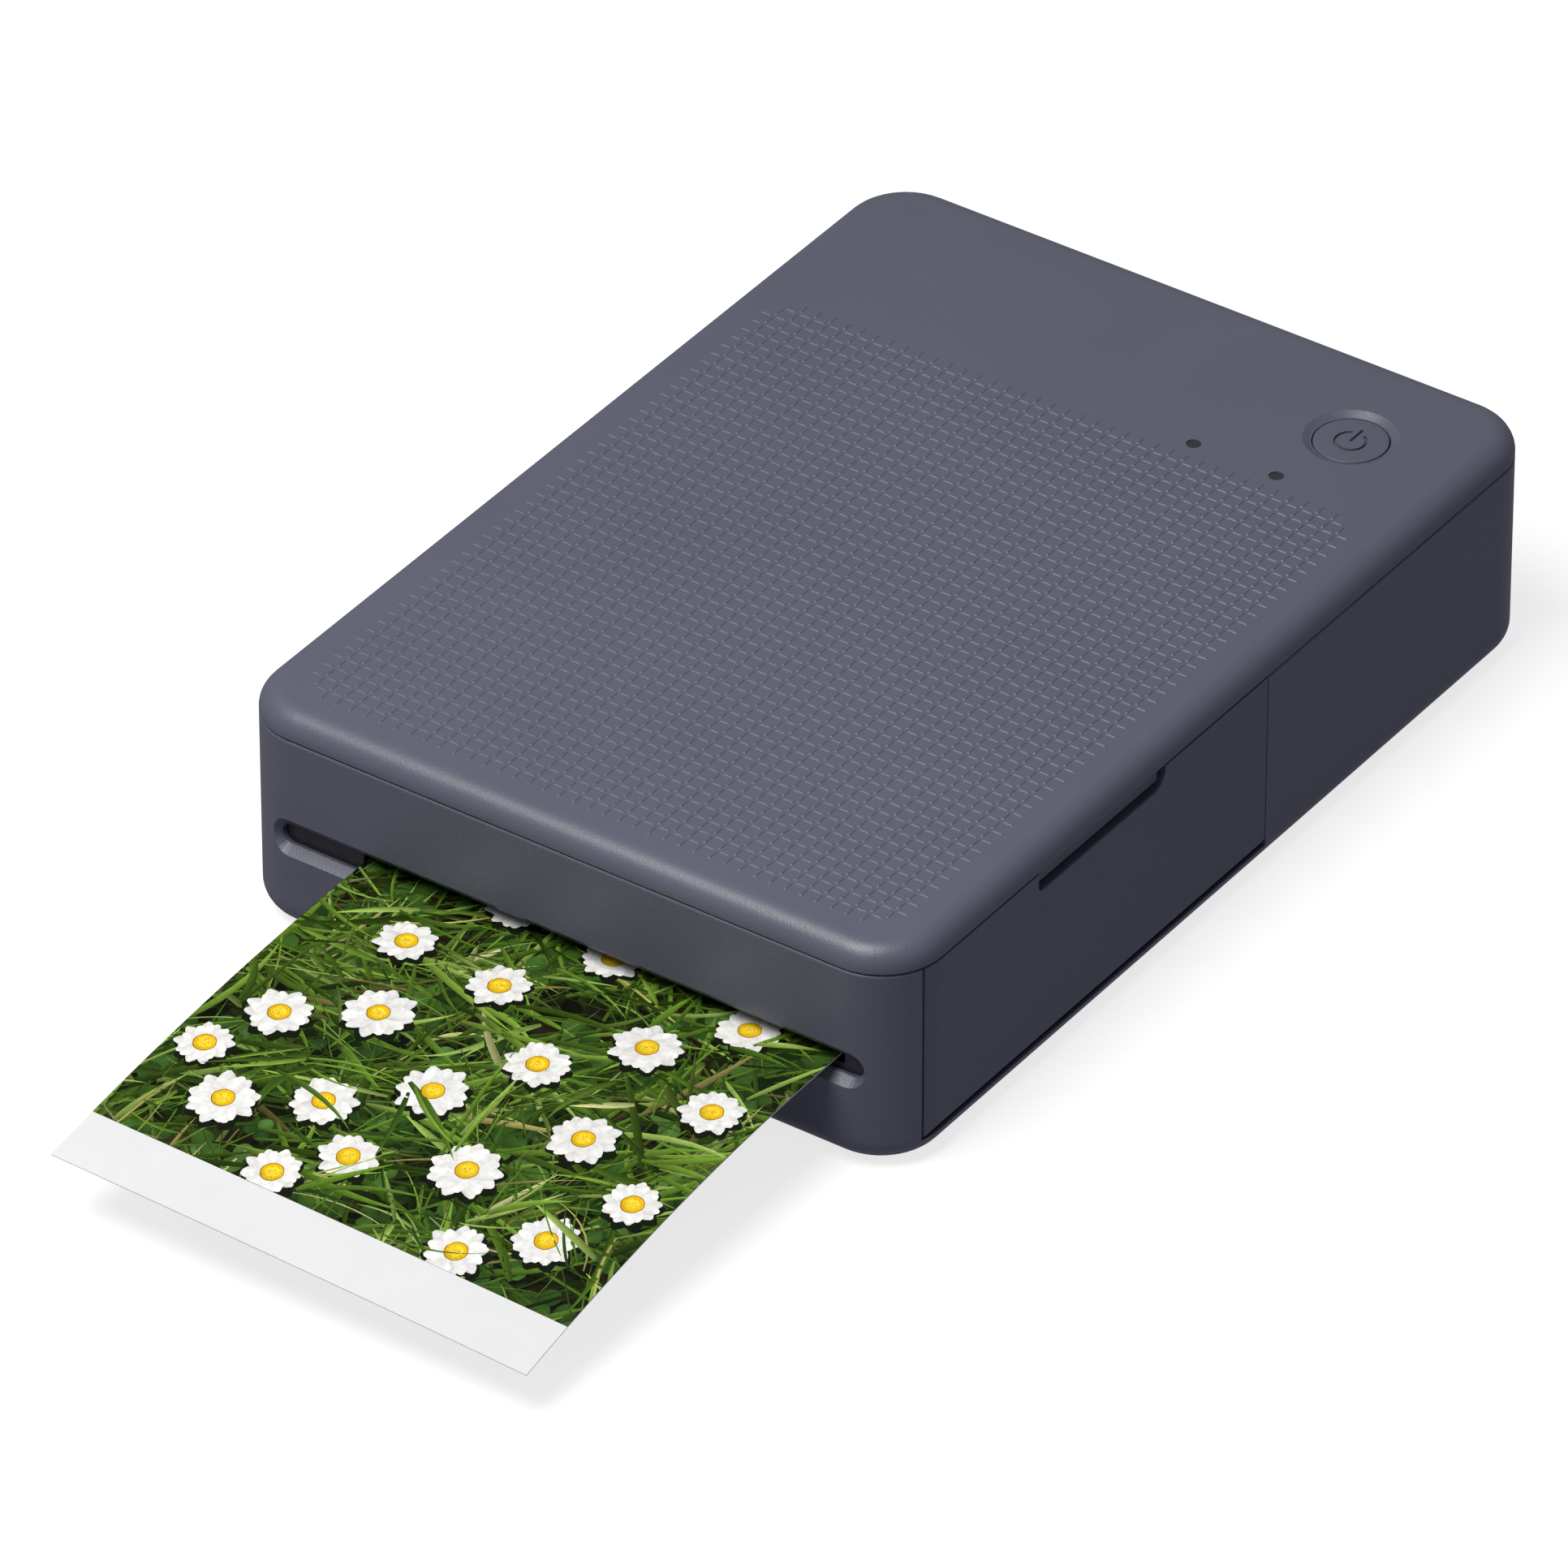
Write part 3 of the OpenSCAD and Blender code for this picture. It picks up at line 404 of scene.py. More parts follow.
@dataclass(frozen=True)
class CircuitBoard(Finish):
    """Glass-epoxy board under green lacquer: copper tracks stand faintly lighter beneath it, with
    tinned pads here and there."""

    track: str = "#FFFFFF"
    pad: str = "#FFFFFF"
    track_mm: float = 2.6
    track_edge: Point = (0.06, 0.09)
    pad_mm: float = 1.7
    pad_edge: Point = (0.15, 0.17)
    depth_mm: float = 0.03

    def dress(self, coat: Coat) -> None:
        """Adds the tracks and the pads.

        Args:
            coat: The material in hand.
        """
        colour: Any = linear(self.colour)
        lines = {"distance": "MANHATTAN", "feature": "DISTANCE_TO_EDGE"}
        shares = []
        for size, (near, far), tint, settings in (
                (self.track_mm, self.track_edge, self.track, lines),
                (self.pad_mm, self.pad_edge, self.pad, {})):
            cells = coat.add("TexVoronoi", {"Vector": coat.place, "Scale": per_metre(size)},
                             "Distance", **settings)
            shares.append(coat.add("MapRange", {
                "Value": cells, "From Min": near, "From Max": far, "To Min": 1.0, "To Max": 0.0,
            }))
            colour = coat.add("Mix", {FACTOR: shares[-1], FIRST: colour, SECOND: linear(tint)},
                              MIXED, data_type="RGBA")
        relief = {"Height": shares[0], "Strength": 1.0, "Distance": self.depth_mm * MM}
        coat.paint({"Base Color": colour, "Normal": coat.add("Bump", relief)})


@dataclass(frozen=True)
class PanelledFilm(Finish):
    """Dye ribbon: a thin glossy film with wide bands of yellow, magenta and cyan along its run."""

    bands: tuple[str, ...] = ("#E8C21A", "#B3206E", "#1C7FB0")
    band_mm: float = 11.0
    wave_mm: float = 6.0
    wave_depth_mm: float = 0.05

    def patterns(self) -> tuple[Pattern, ...]:
        """The film's slight waves."""
        return (Pattern(self.wave_mm, self.wave_depth_mm, detail=1.0),)

    def dress(self, coat: Coat) -> None:
        """Adds the bands of dye.

        Args:
            coat: The material in hand.
        """
        count = len(self.bands)
        period = self.band_mm * count * MM
        along = coat.add("SeparateXYZ", {"Vector": coat.place}, "Y")
        turn = coat.add("Math", {0: along, 1: period, 2: 0.0}, operation="WRAP")
        tint = coat.add("ValToRGB", {0: coat.add("Math", {0: turn, 1: period}, operation="DIVIDE")})
        ramp = tint.node.color_ramp
        ramp.interpolation = "CONSTANT"
        marks = ramp.elements
        marks[1].position = 1.0 / count
        for index in range(2, count):
            marks.new(index / count)
        for mark, band in zip(marks, self.bands):
            mark.color = linear(band)
        coat.paint({"Base Color": tint})


@dataclass(frozen=True)
class SheetStack(Finish):
    """Coated photo paper in a stack: bright white, its cut edges lined from tone to tone."""

    sheet_mm: float = 0.15
    flat_from: float = 0.5

    def dress(self, coat: Coat) -> None:
        """Adds the lines between the sheets on the sides of the stack.

        Args:
            coat: The material in hand.
        """
        normal = coat.add("NewGeometry", give="Normal")
        height, side = (coat.add("SeparateXYZ", {"Vector": v}, "Z") for v in (coat.place, normal))
        wave = coat.add("Math", {0: height, 1: self.sheet_mm * MM}, operation="PINGPONG")
        line = coat.add("MapRange", {"Value": wave, "From Max": self.sheet_mm * MM})
        flat = coat.add("Math", {0: side, 1: self.flat_from}, operation="GREATER_THAN")
        bright = coat.add("Math", {0: flat, 1: line}, operation="MAXIMUM")
        coat.paint({"Base Color": coat.add("Mix", {
            FACTOR: bright, FIRST: linear(self.low), SECOND: linear(self.high),
        }, MIXED, data_type="RGBA")})


# Slate grey ABS of the outer case, moulded matt: a soft, speckled sheen. The real grain is too fine
# to show, so it is drawn coarser and deeper than it is.
CASE = MouldedPlastic("slate_abs_moulded", "#5C5D6D", "#5A5C6B", "#5D5F6F", 0.39, gloss=0.55,
                      grain_mm=0.26, grain_depth_mm=0.036)
# The raised dashes come from a smoother part of the tool: a shallower grain, so they don't sparkle.
WEAVE = MouldedPlastic("slate_abs_weave", "#5C5D6D", "#5A5C6B", "#5D5F6F", 0.42, grain_mm=0.26)
# The door is moulded apart, from a batch a touch darker. Its grain is drawn as coarse.
DOOR = MouldedPlastic("slate_abs_door", "#585969", "#57596A", "#5A5C6C", 0.4,
                      grain_mm=0.26, grain_depth_mm=0.036)
# The button's cap has a finer grain and so a smoother face.
CAP = MouldedPlastic("slate_abs_button", "#595A69", "#585968", "#5B5C6B", 0.42, grain_mm=0.25)
# Black ABS of the lid's liner and the guides: satin, and dark enough to recede.
INNER = MouldedPlastic("black_abs_inner", "#1E1F23", "#1C1D21", "#222327", 0.46, grain_mm=0.4)
# The same black on the inner frame, with the slate tab that shows beside the door.
FRAME = ZonedPlastic("black_abs_frame", "#1E1F23", "#1C1D21", "#222327", 0.46, tab="#565864")
# Charcoal ABS of the thin wall behind the slot: a dull, dark ground for the print.
SHROUD = MouldedPlastic("charcoal_abs_shroud", "#404148", "#3E3F46", "#43444B")
# Smoke grey polystyrene of the ink cassette: glossier than the case, with a shallow grain.
CASSETTE = MouldedPlastic("smoke_polystyrene", "#3A3C42", "#383A40", "#3E4046", 0.34,
                          grain_mm=0.5, grain_depth_mm=0.005)
# Black epoxy of the chips: matt and nearly black.
CHIP = MouldedPlastic("black_epoxy_parts", "#17181A", "#151618", "#1D1E20", grain_mm=0.2)
# Dark blue shrink wrap round the cell: a smooth gloss over soft, shallow puckers.
WRAP = MouldedPlastic("blue_shrink_wrap", "#27406B", "#243C66", "#2C4773", 0.28,
                      grain_mm=1.5, grain_depth_mm=0.03)
# Natural acetal of the gears: waxy white.
ACETAL = TurnedPlastic("natural_acetal", "#D9D6CB", "#D2CFC3", "#E0DDD3", 0.38)
# Black acetal of the bushes, the hub and the press arm: dark, with a waxy sheen.
DARK_ACETAL = TurnedPlastic("black_acetal", "#26272A", "#232427", "#2B2C30", 0.36)
# White bodies of the lamps under the light pipes: smooth and bright.
LAMP = TurnedPlastic("white_lamp_body", "#EDEADF", "#E8E4D6", "#F2F0E8", 0.3)
# Zinc-plated steel, rolled lengthways: bright, with its highlights drawn out.
SHEET = LinedMetal("zinc_plated_sheet", "#B9BCC0", "#A9ACB1", "#C6C9CC", 0.36)
# The side plates are passivated black: satin, so nothing gleams through the slot.
PLATE = LinedMetal("black_passivated_sheet", "#2E3034", "#27292C", "#383A3F", 0.42)
# Turned steel of the exit roller, oil blackened: dark satin.
BLACKED = LinedMetal("oil_blackened_steel", "#2A2B2E", "#232427", "#34363A", 0.38, run=Direction.Z)
# Ground steel shafts and pins: sharp highlights that run along the shaft.
SHAFT = LinedMetal("ground_steel_shaft", "#C9CBCE", "#BDC0C4", "#D2D4D6", 0.22, run=Direction.X,
                   line_mm=0.08)
# Black-oxide steel screws: dark satin heads.
SCREW = LinedMetal("black_oxide_screw", "#34353A", "#2C2D31", "#3D3E43", 0.38, line_mm=0.2,
                   length_mm=0.6)
# Nickel-plated shells of the socket and the switch: warm and bright.
NICKEL = LinedMetal("nickel_plated_shell", "#BFBDB6", "#B4B2AB", "#C9C7C0", 0.24)
# Anodised aluminium of the thermal head: pale gold satin.
HEAD = LinedMetal("anodised_head_bar", "#C8B98C", "#B9AA7E", "#D3C69C", 0.3, run=Direction.X)
# The ribbon wound on its cores: edge on, it shows as fine dark glossy turns.
WOUND = LinedMetal("wound_dye_ribbon", "#3A2144", "#2F1A3A", "#4A2A52", 0.25, 0.0, 1.52,
                   run=Direction.X, line_mm=0.1, length_mm=30.0)
# Ground silicone rubber of the rollers: dark and dull.
ROLLER = Rubber("silicone_roller_rubber", "#2B2B2D", "#29292B", "#353537", 0.62)
# Harder moulded rubber of the feet: duller still.
FOOT = Rubber("moulded_foot_rubber", "#232326", "#212124", "#2C2C30", 0.75)
# Dye ribbon between its tubes: a strong gloss over bands of dye.
RIBBON = PanelledFilm("dye_ribbon_film", "#B3206E", roughness=0.16)
# Lacquered boards: glossy green with lighter tracks.
BOARD = CircuitBoard("green_lacquered_board", "#0F4A33", roughness=0.3, track="#1B6B48",
                     pad="#C9C3AE")
# Coated blank sheets: bright white, lined with grey on their cut edges.
PAPER = SheetStack("coated_photo_paper", "#F2F2F0", "#B9B9B5", "#F2F2F0", 0.3)
# The print's dye under its laminate: deep colours with one even gloss.
DYE = PrintedCoat("laminated_photo_dye", "#3C5A20", roughness=0.32, gloss=0.08)
# The picture's dark ground under the strokes of dye, with the same laminate.
GROUND = PhotoStock("laminated_dye_ground", "#141A0A", "#0A0D04", "#151B09", 0.32, gloss=0.08,
                    cloud_mm=2.5)
# White back and lead strip of the print: an even, slightly cool white.
STOCK = PhotoStock("resin_coated_photo_paper", "#DEE0E2", "#DDDFE1", "#E0E2E4", 0.34)
# The sheet's cut edges, quite dull: painted light, a white brighter than the paper's, so the thin
# edges that the lamp hardly reaches still read bright.
PAINTED_LIGHT_EDGE = PhotoStock("paper_edge_painted_light", "#FBFBFA", "#F8F8F7", "#FDFDFC", 0.6, gloss=0.1)
# Smoked clear light pipes, polished: nearly black while the lamps are off.
LENS = ClearPlastic("smoked_polycarbonate", "#3B3C42", roughness=0.12, ior=1.58)

# The CAD nodes that each finish dresses.
DRESSED: dict[Finish, str] = {
    CASE: "bottom_case top_cover",
    DOOR: "ink_door",
    CAP: "power_button",
    FRAME: "mid_frame",
    INNER: "cover_liner feed_guide exit_guide",
    CASSETTE: "cassette_shell",
    CHIP: "board_parts",
    WRAP: "battery_pack",
    ACETAL: "feed_idler pickup_idler pickup_gear supply_core takeup_core",
    DARK_ACETAL: "roller_bushes motor_pinion exit_idler platen_gear exit_gear takeup_hub press_arm",
    LAMP: "indicator_lamps",
    SHEET: "drive_motor head_carrier",
    PLATE: "left_plate right_plate",
    BLACKED: "exit_roller",
    SHAFT: "plate_screws gear_studs platen_shaft pickup_shaft head_rod hinge_pins press_rod",
    SCREW: "case_screws liner_screws",
    NICKEL: "usb_socket power_switch",
    HEAD: "thermal_head",
    WOUND: "supply_roll takeup_roll",
    ROLLER: "platen_rubber pinch_roller pickup_tyres",
    FOOT: "rubber_feet",
    RIBBON: "ink_ribbon",
    BOARD: "main_board antenna_board control_board",
    PAPER: "blank_sheets",
    STOCK: "photo_print",
    LENS: "light_pipes",
}


def dress_nodes(frame: dict[str, Any]) -> None:
    """Gives the CAD nodes their finishes.
    """
    for finish, names in DRESSED.items():
        for name in names.split():
            for place in frame["nodes"][name].material_slots:
                place.material = finish.material()
        LOG.info("%s on %s", finish.name, names)


def mesh_from(shape: Shape, name: str) -> bpy.types.Mesh:
    """Makes a mesh from a bmesh.

    Args:
        shape: The bmesh, freed here.
        name: The mesh's name.

    Returns:
        The new mesh.
    """
    mesh = bpy.data.meshes.new(name)
    shape.to_mesh(mesh)
    shape.free()
    return mesh


def scene_object(name: str, data: bpy.types.ID) -> bpy.types.Object:
    """Puts an object with this data in the scene.

    Args:
        name: The object's name.
        data: Its mesh, lamp or camera.

    Returns:
        The new object.
    """
    made = bpy.data.objects.new(name, data)
    bpy.context.scene.collection.objects.link(made)
    return made


def grid_lines(shape: Shape, axis: int) -> list[int]:
    """Tells which line of a grid each vertex lies on.

    Args:
        shape: A grid of 2 by 2 units round the origin.
        axis: The axis to go by, 0 or 1.

    Returns:
        For each vertex, how many lines lie below its own on that axis.
    """
    places = [round(v.co[axis], GRID_DIGITS) for v in shape.verts]
    lines = sorted(set(places))
    return [lines.index(place) for place in places]


def everything(shape: Shape) -> list[Any]:
    """Every vertex, edge and face of a bmesh."""
    return shape.verts[:] + shape.edges[:] + shape.faces[:]


def face_up(shape: Shape) -> None:
    """Turns every face of an open sheet upwards."""
    for face in shape.faces:
        if face.normal.z < 0:
            face.normal_flip()


def finished_piece(
    shape: Shape, name: str, body: str, slot: str, *finishes: Finish
) -> bpy.types.Object:
    """Turns a bmesh in millimetres into a piece in metres that rides on a body.

    Args:
        shape: The mesh, freed here.
        name: The piece's name.
        body: The CAD body that carries it.
        slot: Not used.
        finishes: Its finishes, in the order of the faces' material indices.

    Returns:
        The new object.
    """
    bmesh.ops.scale(shape, vec=(MM, MM, MM), verts=shape.verts)
    mesh = mesh_from(shape, name)
    mesh.shade_smooth()
    mesh.set_sharp_from_angle(angle=math.radians(SHARP_DEG))
    for finish in finishes:
        mesh.materials.append(finish.material())
    made = scene_object(name, mesh)
    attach(made, body)
    LOG.info("piece %s: %d faces on %s", name, len(mesh.polygons), body)
    return made


@dataclass
class Studio:
    """Pale floor, soft lamp, world and camera."""

    eye_mm: Place = (932.29, -1330.02, 1184.92)
    azimuth_deg: float = 34.875
    elevation_deg: float = 35.730
    roll_deg: float = -0.020
    lens_mm: float = 363.6
    sensor_mm: float = 36.0
    clip_m: Point = (0.1, 50.0)
    floor_mm: float = 9000.0
    floor_z_mm: float = -0.02
    floor_paint: float = 0.4
    floor_glow: float = 0.76
    floor_mirrored: float = 0.26
    floor_bounce: str = "#96959C"
    world_level: float = 0.21
    world_tint: str = "#EAEDFF"
    lamp_tint: str = "#FFFCF6"
    lamp_place_mm: Place = (-95.0, -245.0, 625.0)
    lamp_aim_mm: Place = (0.0, 0.0, 20.0)
    lamp_size_mm: float = 420.0
    lamp_watts: float = 4.9

    def build(self) -> None:
        """Makes the whole studio."""
        self.camera()
        self.floor()
        self.world()
        self.lamp()
        bpy.context.scene.view_settings.view_transform = "Standard"
        LOG.info("studio ready")

    def camera(self) -> None:
        """Makes the scene's camera."""
        a, e, r = (math.radians(v) for v in (self.azimuth_deg, self.elevation_deg, self.roll_deg))
        back = Vector((math.sin(a) * math.cos(e), -math.cos(a) * math.cos(e), math.sin(e)))
        level = Vector((math.cos(a), math.sin(a), 0.0))
        upright = back.cross(level)
        right = math.cos(r) * level + math.sin(r) * upright
        up = math.cos(r) * upright - math.sin(r) * level
        data = bpy.data.cameras.new("camera")
        data.lens = self.lens_mm
        data.sensor_width = self.sensor_mm
        data.clip_start, data.clip_end = self.clip_m
        made = scene_object("camera", data)
        turn = Matrix((right, up, back)).transposed().to_4x4()
        made.matrix_world = Matrix.Translation(Vector(self.eye_mm) * MM) @ turn
        bpy.context.scene.camera = made

    def floor(self) -> None:
        """Makes the pale floor, which glows to the eye and keeps the printer's shadow.

        It is dimmer in what mirrors it, and throws light back as grey paint.
        """
        shape = bmesh.new()
        bmesh.ops.create_grid(shape, x_segments=1, y_segments=1, size=self.floor_mm * MM / 2)
        bmesh.ops.translate(shape, vec=(0.0, 0.0, self.floor_z_mm * MM), verts=shape.verts)
        mesh = mesh_from(shape, "floor")
        material = bpy.data.materials.new("pale_painted_floor")
        mesh.materials.append(material)
        graph = Graph(material)
        path = graph.add("LightPath").node.outputs
        lit = graph.add("BsdfDiffuse", {"Color": (*[self.floor_paint] * 3, 1.0)})
        glow = graph.add("Emission", {"Color": WHITE, "Strength": self.floor_glow})
        seen = graph.add("AddShader", {0: lit, 1: glow})
        dim = graph.add("Emission", {
            "Color": linear(self.world_tint), "Strength": self.floor_mirrored,
        })
        mirrored = graph.add("Math", {0: path["Is Glossy Ray"], 1: path["Is Transmission Ray"]},
                             operation="MAXIMUM")
        dull = graph.add("BsdfDiffuse", {"Color": linear(self.floor_bounce)})
        bounce = graph.add("MixShader", {0: mirrored, 1: dull, 2: dim})
        graph.feed(graph.output, {"Surface": graph.add("MixShader", {
            0: path["Is Camera Ray"], 1: bounce, 2: seen,
        })})
        scene_object("floor", mesh)

    def world(self) -> None:
        """Makes the even light from all round, which the eye sees as white."""
        world = bpy.data.worlds.new("studio")
        graph = Graph(world)
        camera_ray = graph.add("LightPath", give="Is Camera Ray")
        seen = graph.add("Background", {"Color": WHITE, "Strength": 1.0})
        even = graph.add("Background", {
            "Color": linear(self.world_tint), "Strength": self.world_level,
        })
        graph.feed(graph.output, {
            "Surface": graph.add("MixShader", {0: camera_ray, 1: even, 2: seen}),
        })
        bpy.context.scene.world = world

    def lamp(self) -> None:
        """Hangs the soft square lamp above the front, pointed at the part."""
        data = bpy.data.lights.new("key_above_front", "AREA")
        data.size = self.lamp_size_mm * MM
        data.energy = self.lamp_watts
        data.color = linear(self.lamp_tint)[:3]
        made = scene_object("key_above_front", data)
        made.location = Vector(self.lamp_place_mm) * MM
        aim = Vector(self.lamp_aim_mm) * MM - made.location
        made.rotation_euler = aim.to_track_quat("-Z", "Y").to_euler()


@dataclass
class LidTexture:
    """Raised dashes on the lid, laid as a basket weave: rows of cross dashes with lengthways ones
    between. A cross dash has longer slopes at its ends."""

    top_z: float = 33.4
    columns: int = 40
    rows: int = 46
    first_x: float = -44.68
    first_y: float = -33.05
    pitch_x: float = 2.2913
    pitch_y: float = 2.2935
    length: float = 1.62
    width: float = 0.5
    height: float = 0.125
    slope: float = 0.16
    end_slope: float = 0.27
    sunk: float = 0.02

    def dash(self, x: float, y: float, across: bool) -> Shape:
        """Makes one flat-topped bar with sloped sides and ends, open underneath.

        Args:
            x: Its middle.
            y: Its middle.
            across: True for a cross dash, False for a lengthways one.

        Returns:
            The bar in a mesh of its own.
        """
        shape = bmesh.new()
        size = (self.length, self.width) if across else (self.width, self.length)
        lift = self.height + self.sunk
        bmesh.ops.create_cube(shape, size=1.0)
        bmesh.ops.scale(shape, vec=(*size, lift), verts=shape.verts)
        top = [v for v in shape.verts if v.co.z > 0]
        end = self.end_slope if across else self.slope
        shrink = (1 - 2 * end / size[0], 1 - 2 * self.slope / size[1], 1.0)
        bmesh.ops.scale(shape, vec=shrink, verts=top)
        bmesh.ops.translate(shape, vec=(x, y, self.top_z + lift / 2 - self.sunk), verts=shape.verts)
        hidden = [f for f in shape.faces if f.calc_center_median().z < self.top_z - self.sunk / 2]
        bmesh.ops.delete(shape, geom=hidden, context="FACES_ONLY")
        return shape

    def field(
        self, weave: Shape, across: bool, first: Point, count: tuple[int, int],
        row_step: int = 1,
    ) -> None:
        """Lays one dash out in columns and rows.

        Args:
            weave: The mesh that the dashes are added to.
            across: True for cross dashes.
            first: Column and row of the first dash, which may be halves.
            count: Number of columns and rows.
            row_step: Rows from one laid row to the next.
        """
        shape = self.dash(self.first_x + first[0] * self.pitch_x,
                          self.first_y + first[1] * self.pitch_y, across)
        steps = ((self.pitch_x, 0.0, 0.0), (0.0, self.pitch_y * row_step, 0.0))
        for number, step in zip(count, steps):
            bmesh.ops.spin(shape, geom=everything(shape), cent=ORIGIN, axis=UP, dvec=step,
                           angle=0.0, steps=number - 1, use_duplicate=True)
        part = mesh_from(shape, "dashes")
        weave.from_mesh(part)
        bpy.data.meshes.remove(part)

    def build(self) -> None:
        """Lays the dashes: full rows between two end rows that are one dash shorter at each end."""
        weave = bmesh.new()
        last = self.rows - 1
        self.field(weave, True, (0, 1), (self.columns, self.rows - 2))
        self.field(weave, True, (1, 0), (self.columns - 2, 2), last)
        self.field(weave, False, (0.5, 0.5), (self.columns - 1, last))
        self.field(weave, False, (1.5, -0.5), (self.columns - 3, 2), self.rows)
        finished_piece(weave, "lid_texture", "cover", "case_abs", WEAVE)


@dataclass
class SlotShroud:
    """Thin moulded wall just behind the slot: it hides the gears, and its window lets the print
    through."""

    x: tuple[float, float, float, float] = (-44.3, -32.3, 41.3, 44.3)
    z: tuple[float, float, float, float] = (11.4, 13.4, 15.8, 17.4)
    front_y: float = -38.45
    thick: float = 0.4
    ledge_y: float = -38.9
    ledge_x: float = 42.6
    facing: float = 0.9
    near: float = 0.01

    def build(self) -> None:
        """Cuts the window in a plate, folds its long edges forward to the front wall and gives it
        thickness."""
        shape = bmesh.new()
        bmesh.ops.create_grid(shape, x_segments=3, y_segments=3, size=1.0)
        window = [f for f in shape.faces if f.calc_center_median().length < self.near]
        bmesh.ops.delete(shape, geom=window, context="FACES_ONLY")
        columns, rows = grid_lines(shape, 0), grid_lines(shape, 1)
        for vert, column, row in zip(shape.verts, columns, rows):
            vert.co = Vector((self.x[column], self.front_y, self.z[row]))
        long_edges = [e for e in shape.edges if any(
            all(abs(v.co.z - z) < self.near for v in e.verts) for z in (self.z[0], self.z[-1]))]
        folded = bmesh.ops.extrude_edge_only(shape, edges=long_edges)["geom"]
        for vert in (v for v in folded if isinstance(v, bmesh.types.BMVert)):
            vert.co.y = self.ledge_y
            vert.co.x = max(-self.ledge_x, min(self.ledge_x, vert.co.x))
        bmesh.ops.recalc_face_normals(shape, faces=shape.faces)
        if next(f for f in shape.faces if abs(f.normal.y) > self.facing).normal.y > 0:
            bmesh.ops.reverse_faces(shape, faces=shape.faces)
        bmesh.ops.solidify(shape, geom=shape.faces[:], thickness=self.thick)
        bmesh.ops.recalc_face_normals(shape, faces=shape.faces)
        finished_piece(shape, "slot_shroud", "base", "inner_abs", SHROUD)


@dataclass
class PowerButton:
    """The button's cap, turned in one piece, with the usual power sign engraved in its face."""

    centre: Point = (33.2, 87.4)
    cap_r: float = 4.95
    top_z: float = 32.9
    flange_r: float = 5.9
    flange_z: Point = (31.2, 31.7)
    stem_r: float = 1.0
    stem_z: float = 30.95
    edge_r: float = 0.15
    edge_steps: int = 5
    sign_r: float = 2.04
    sign_y: float = -0.12
    stroke: float = 0.42
    gap_deg: float = 25.8
    bar: Point = (-0.05, 2.96)
    depth: float = 0.35
    proud: float = 0.2
    steps: int = 96
    sign_steps: int = 64
    near: float = 0.001

    def cap(self) -> Shape:
        """Turns the cap's profile and rounds its upper edge.

        Returns:
            The closed cap in millimetres, on the Z axis.
        """
        shape = bmesh.new()
        profile = ((0.0, self.top_z), (self.cap_r, self.top_z), (self.cap_r, self.flange_z[1]),
                   (self.flange_r, self.flange_z[1]), (self.flange_r, self.flange_z[0]),
                   (self.stem_r, self.flange_z[0]), (self.stem_r, self.stem_z), (0.0, self.stem_z))
        points = [shape.verts.new((r, 0.0, z)) for r, z in profile]
        edges = [shape.edges.new(pair) for pair in zip(points, points[1:])]
        bmesh.ops.spin(shape, geom=points + edges, cent=ORIGIN, axis=UP, angle=math.tau,
                       steps=self.steps, use_merge=True)
        bmesh.ops.remove_doubles(shape, verts=shape.verts, dist=self.near / 2)
        bmesh.ops.recalc_face_normals(shape, faces=shape.faces)
        rim = [e for e in shape.edges if all(
            abs(v.co.z - self.top_z) < self.near and abs(v.co.xy.length - self.cap_r) < self.near
            for v in e.verts)]
        bmesh.ops.bevel(shape, geom=rim, affect="EDGES", offset=self.edge_r,
                        segments=self.edge_steps, profile=0.5, material=-1)
        return shape

    def cutter(self) -> Shape:
        """Makes the sign as solids that stand through the cap's face: an open ring and a bar.

        Returns:
            The closed cutter in millimetres.
        """
        shape = bmesh.new()
        low, high = self.top_z - self.depth, self.top_z + self.proud
        inner, outer = self.sign_r - self.stroke / 2, self.sign_r + self.stroke / 2
        corners = ((inner, low), (outer, low), (outer, high), (inner, high))
        start = shape.faces.new([shape.verts.new((r, 0.0, z)) for r, z in corners])
        turn = Matrix.Rotation(math.radians(90 + self.gap_deg), 3, "Z")
        bmesh.ops.rotate(shape, verts=shape.verts, cent=ORIGIN, matrix=turn)
        bmesh.ops.spin(shape, geom=[start], cent=ORIGIN, axis=UP,
                       angle=math.radians(360 - 2 * self.gap_deg), steps=self.sign_steps)
        bar = bmesh.ops.create_cube(shape, size=1.0)["verts"]
        bmesh.ops.scale(shape, vec=(self.stroke, self.bar[1] - self.bar[0], high - low), verts=bar)
        bmesh.ops.translate(shape, vec=(0.0, sum(self.bar) / 2, (low + high) / 2), verts=bar)
        bmesh.ops.translate(shape, vec=(0.0, self.sign_y, 0.0), verts=shape.verts)
        bmesh.ops.recalc_face_normals(shape, faces=shape.faces)
        return shape

    def build(self) -> None:
        """Engraves the cap and puts it in place of the CAD button."""
        cap, sign = (scene_object(name, mesh_from(shape, name))
                     for name, shape in (("cap", self.cap()), ("sign", self.cutter())))
        engrave = cap.modifiers.new("engrave", "BOOLEAN")
        engrave.operation = "DIFFERENCE"
        engrave.solver = "EXACT"
        engrave.object = sign
        bpy.context.view_layer.update()
        ready = cap.evaluated_get(bpy.context.evaluated_depsgraph_get())
        cut = bpy.data.meshes.new_from_object(ready)
        for holder in (cap, sign):
            bpy.data.objects.remove(holder)
        shape = bmesh.new()
        shape.from_mesh(cut)
        bpy.data.meshes.remove(cut)
        bmesh.ops.translate(shape, vec=(*self.centre, 0.0), verts=shape.verts)
        made = finished_piece(shape, "power_cap", "power_button", "button_abs", CAP)
        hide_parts("power_button")


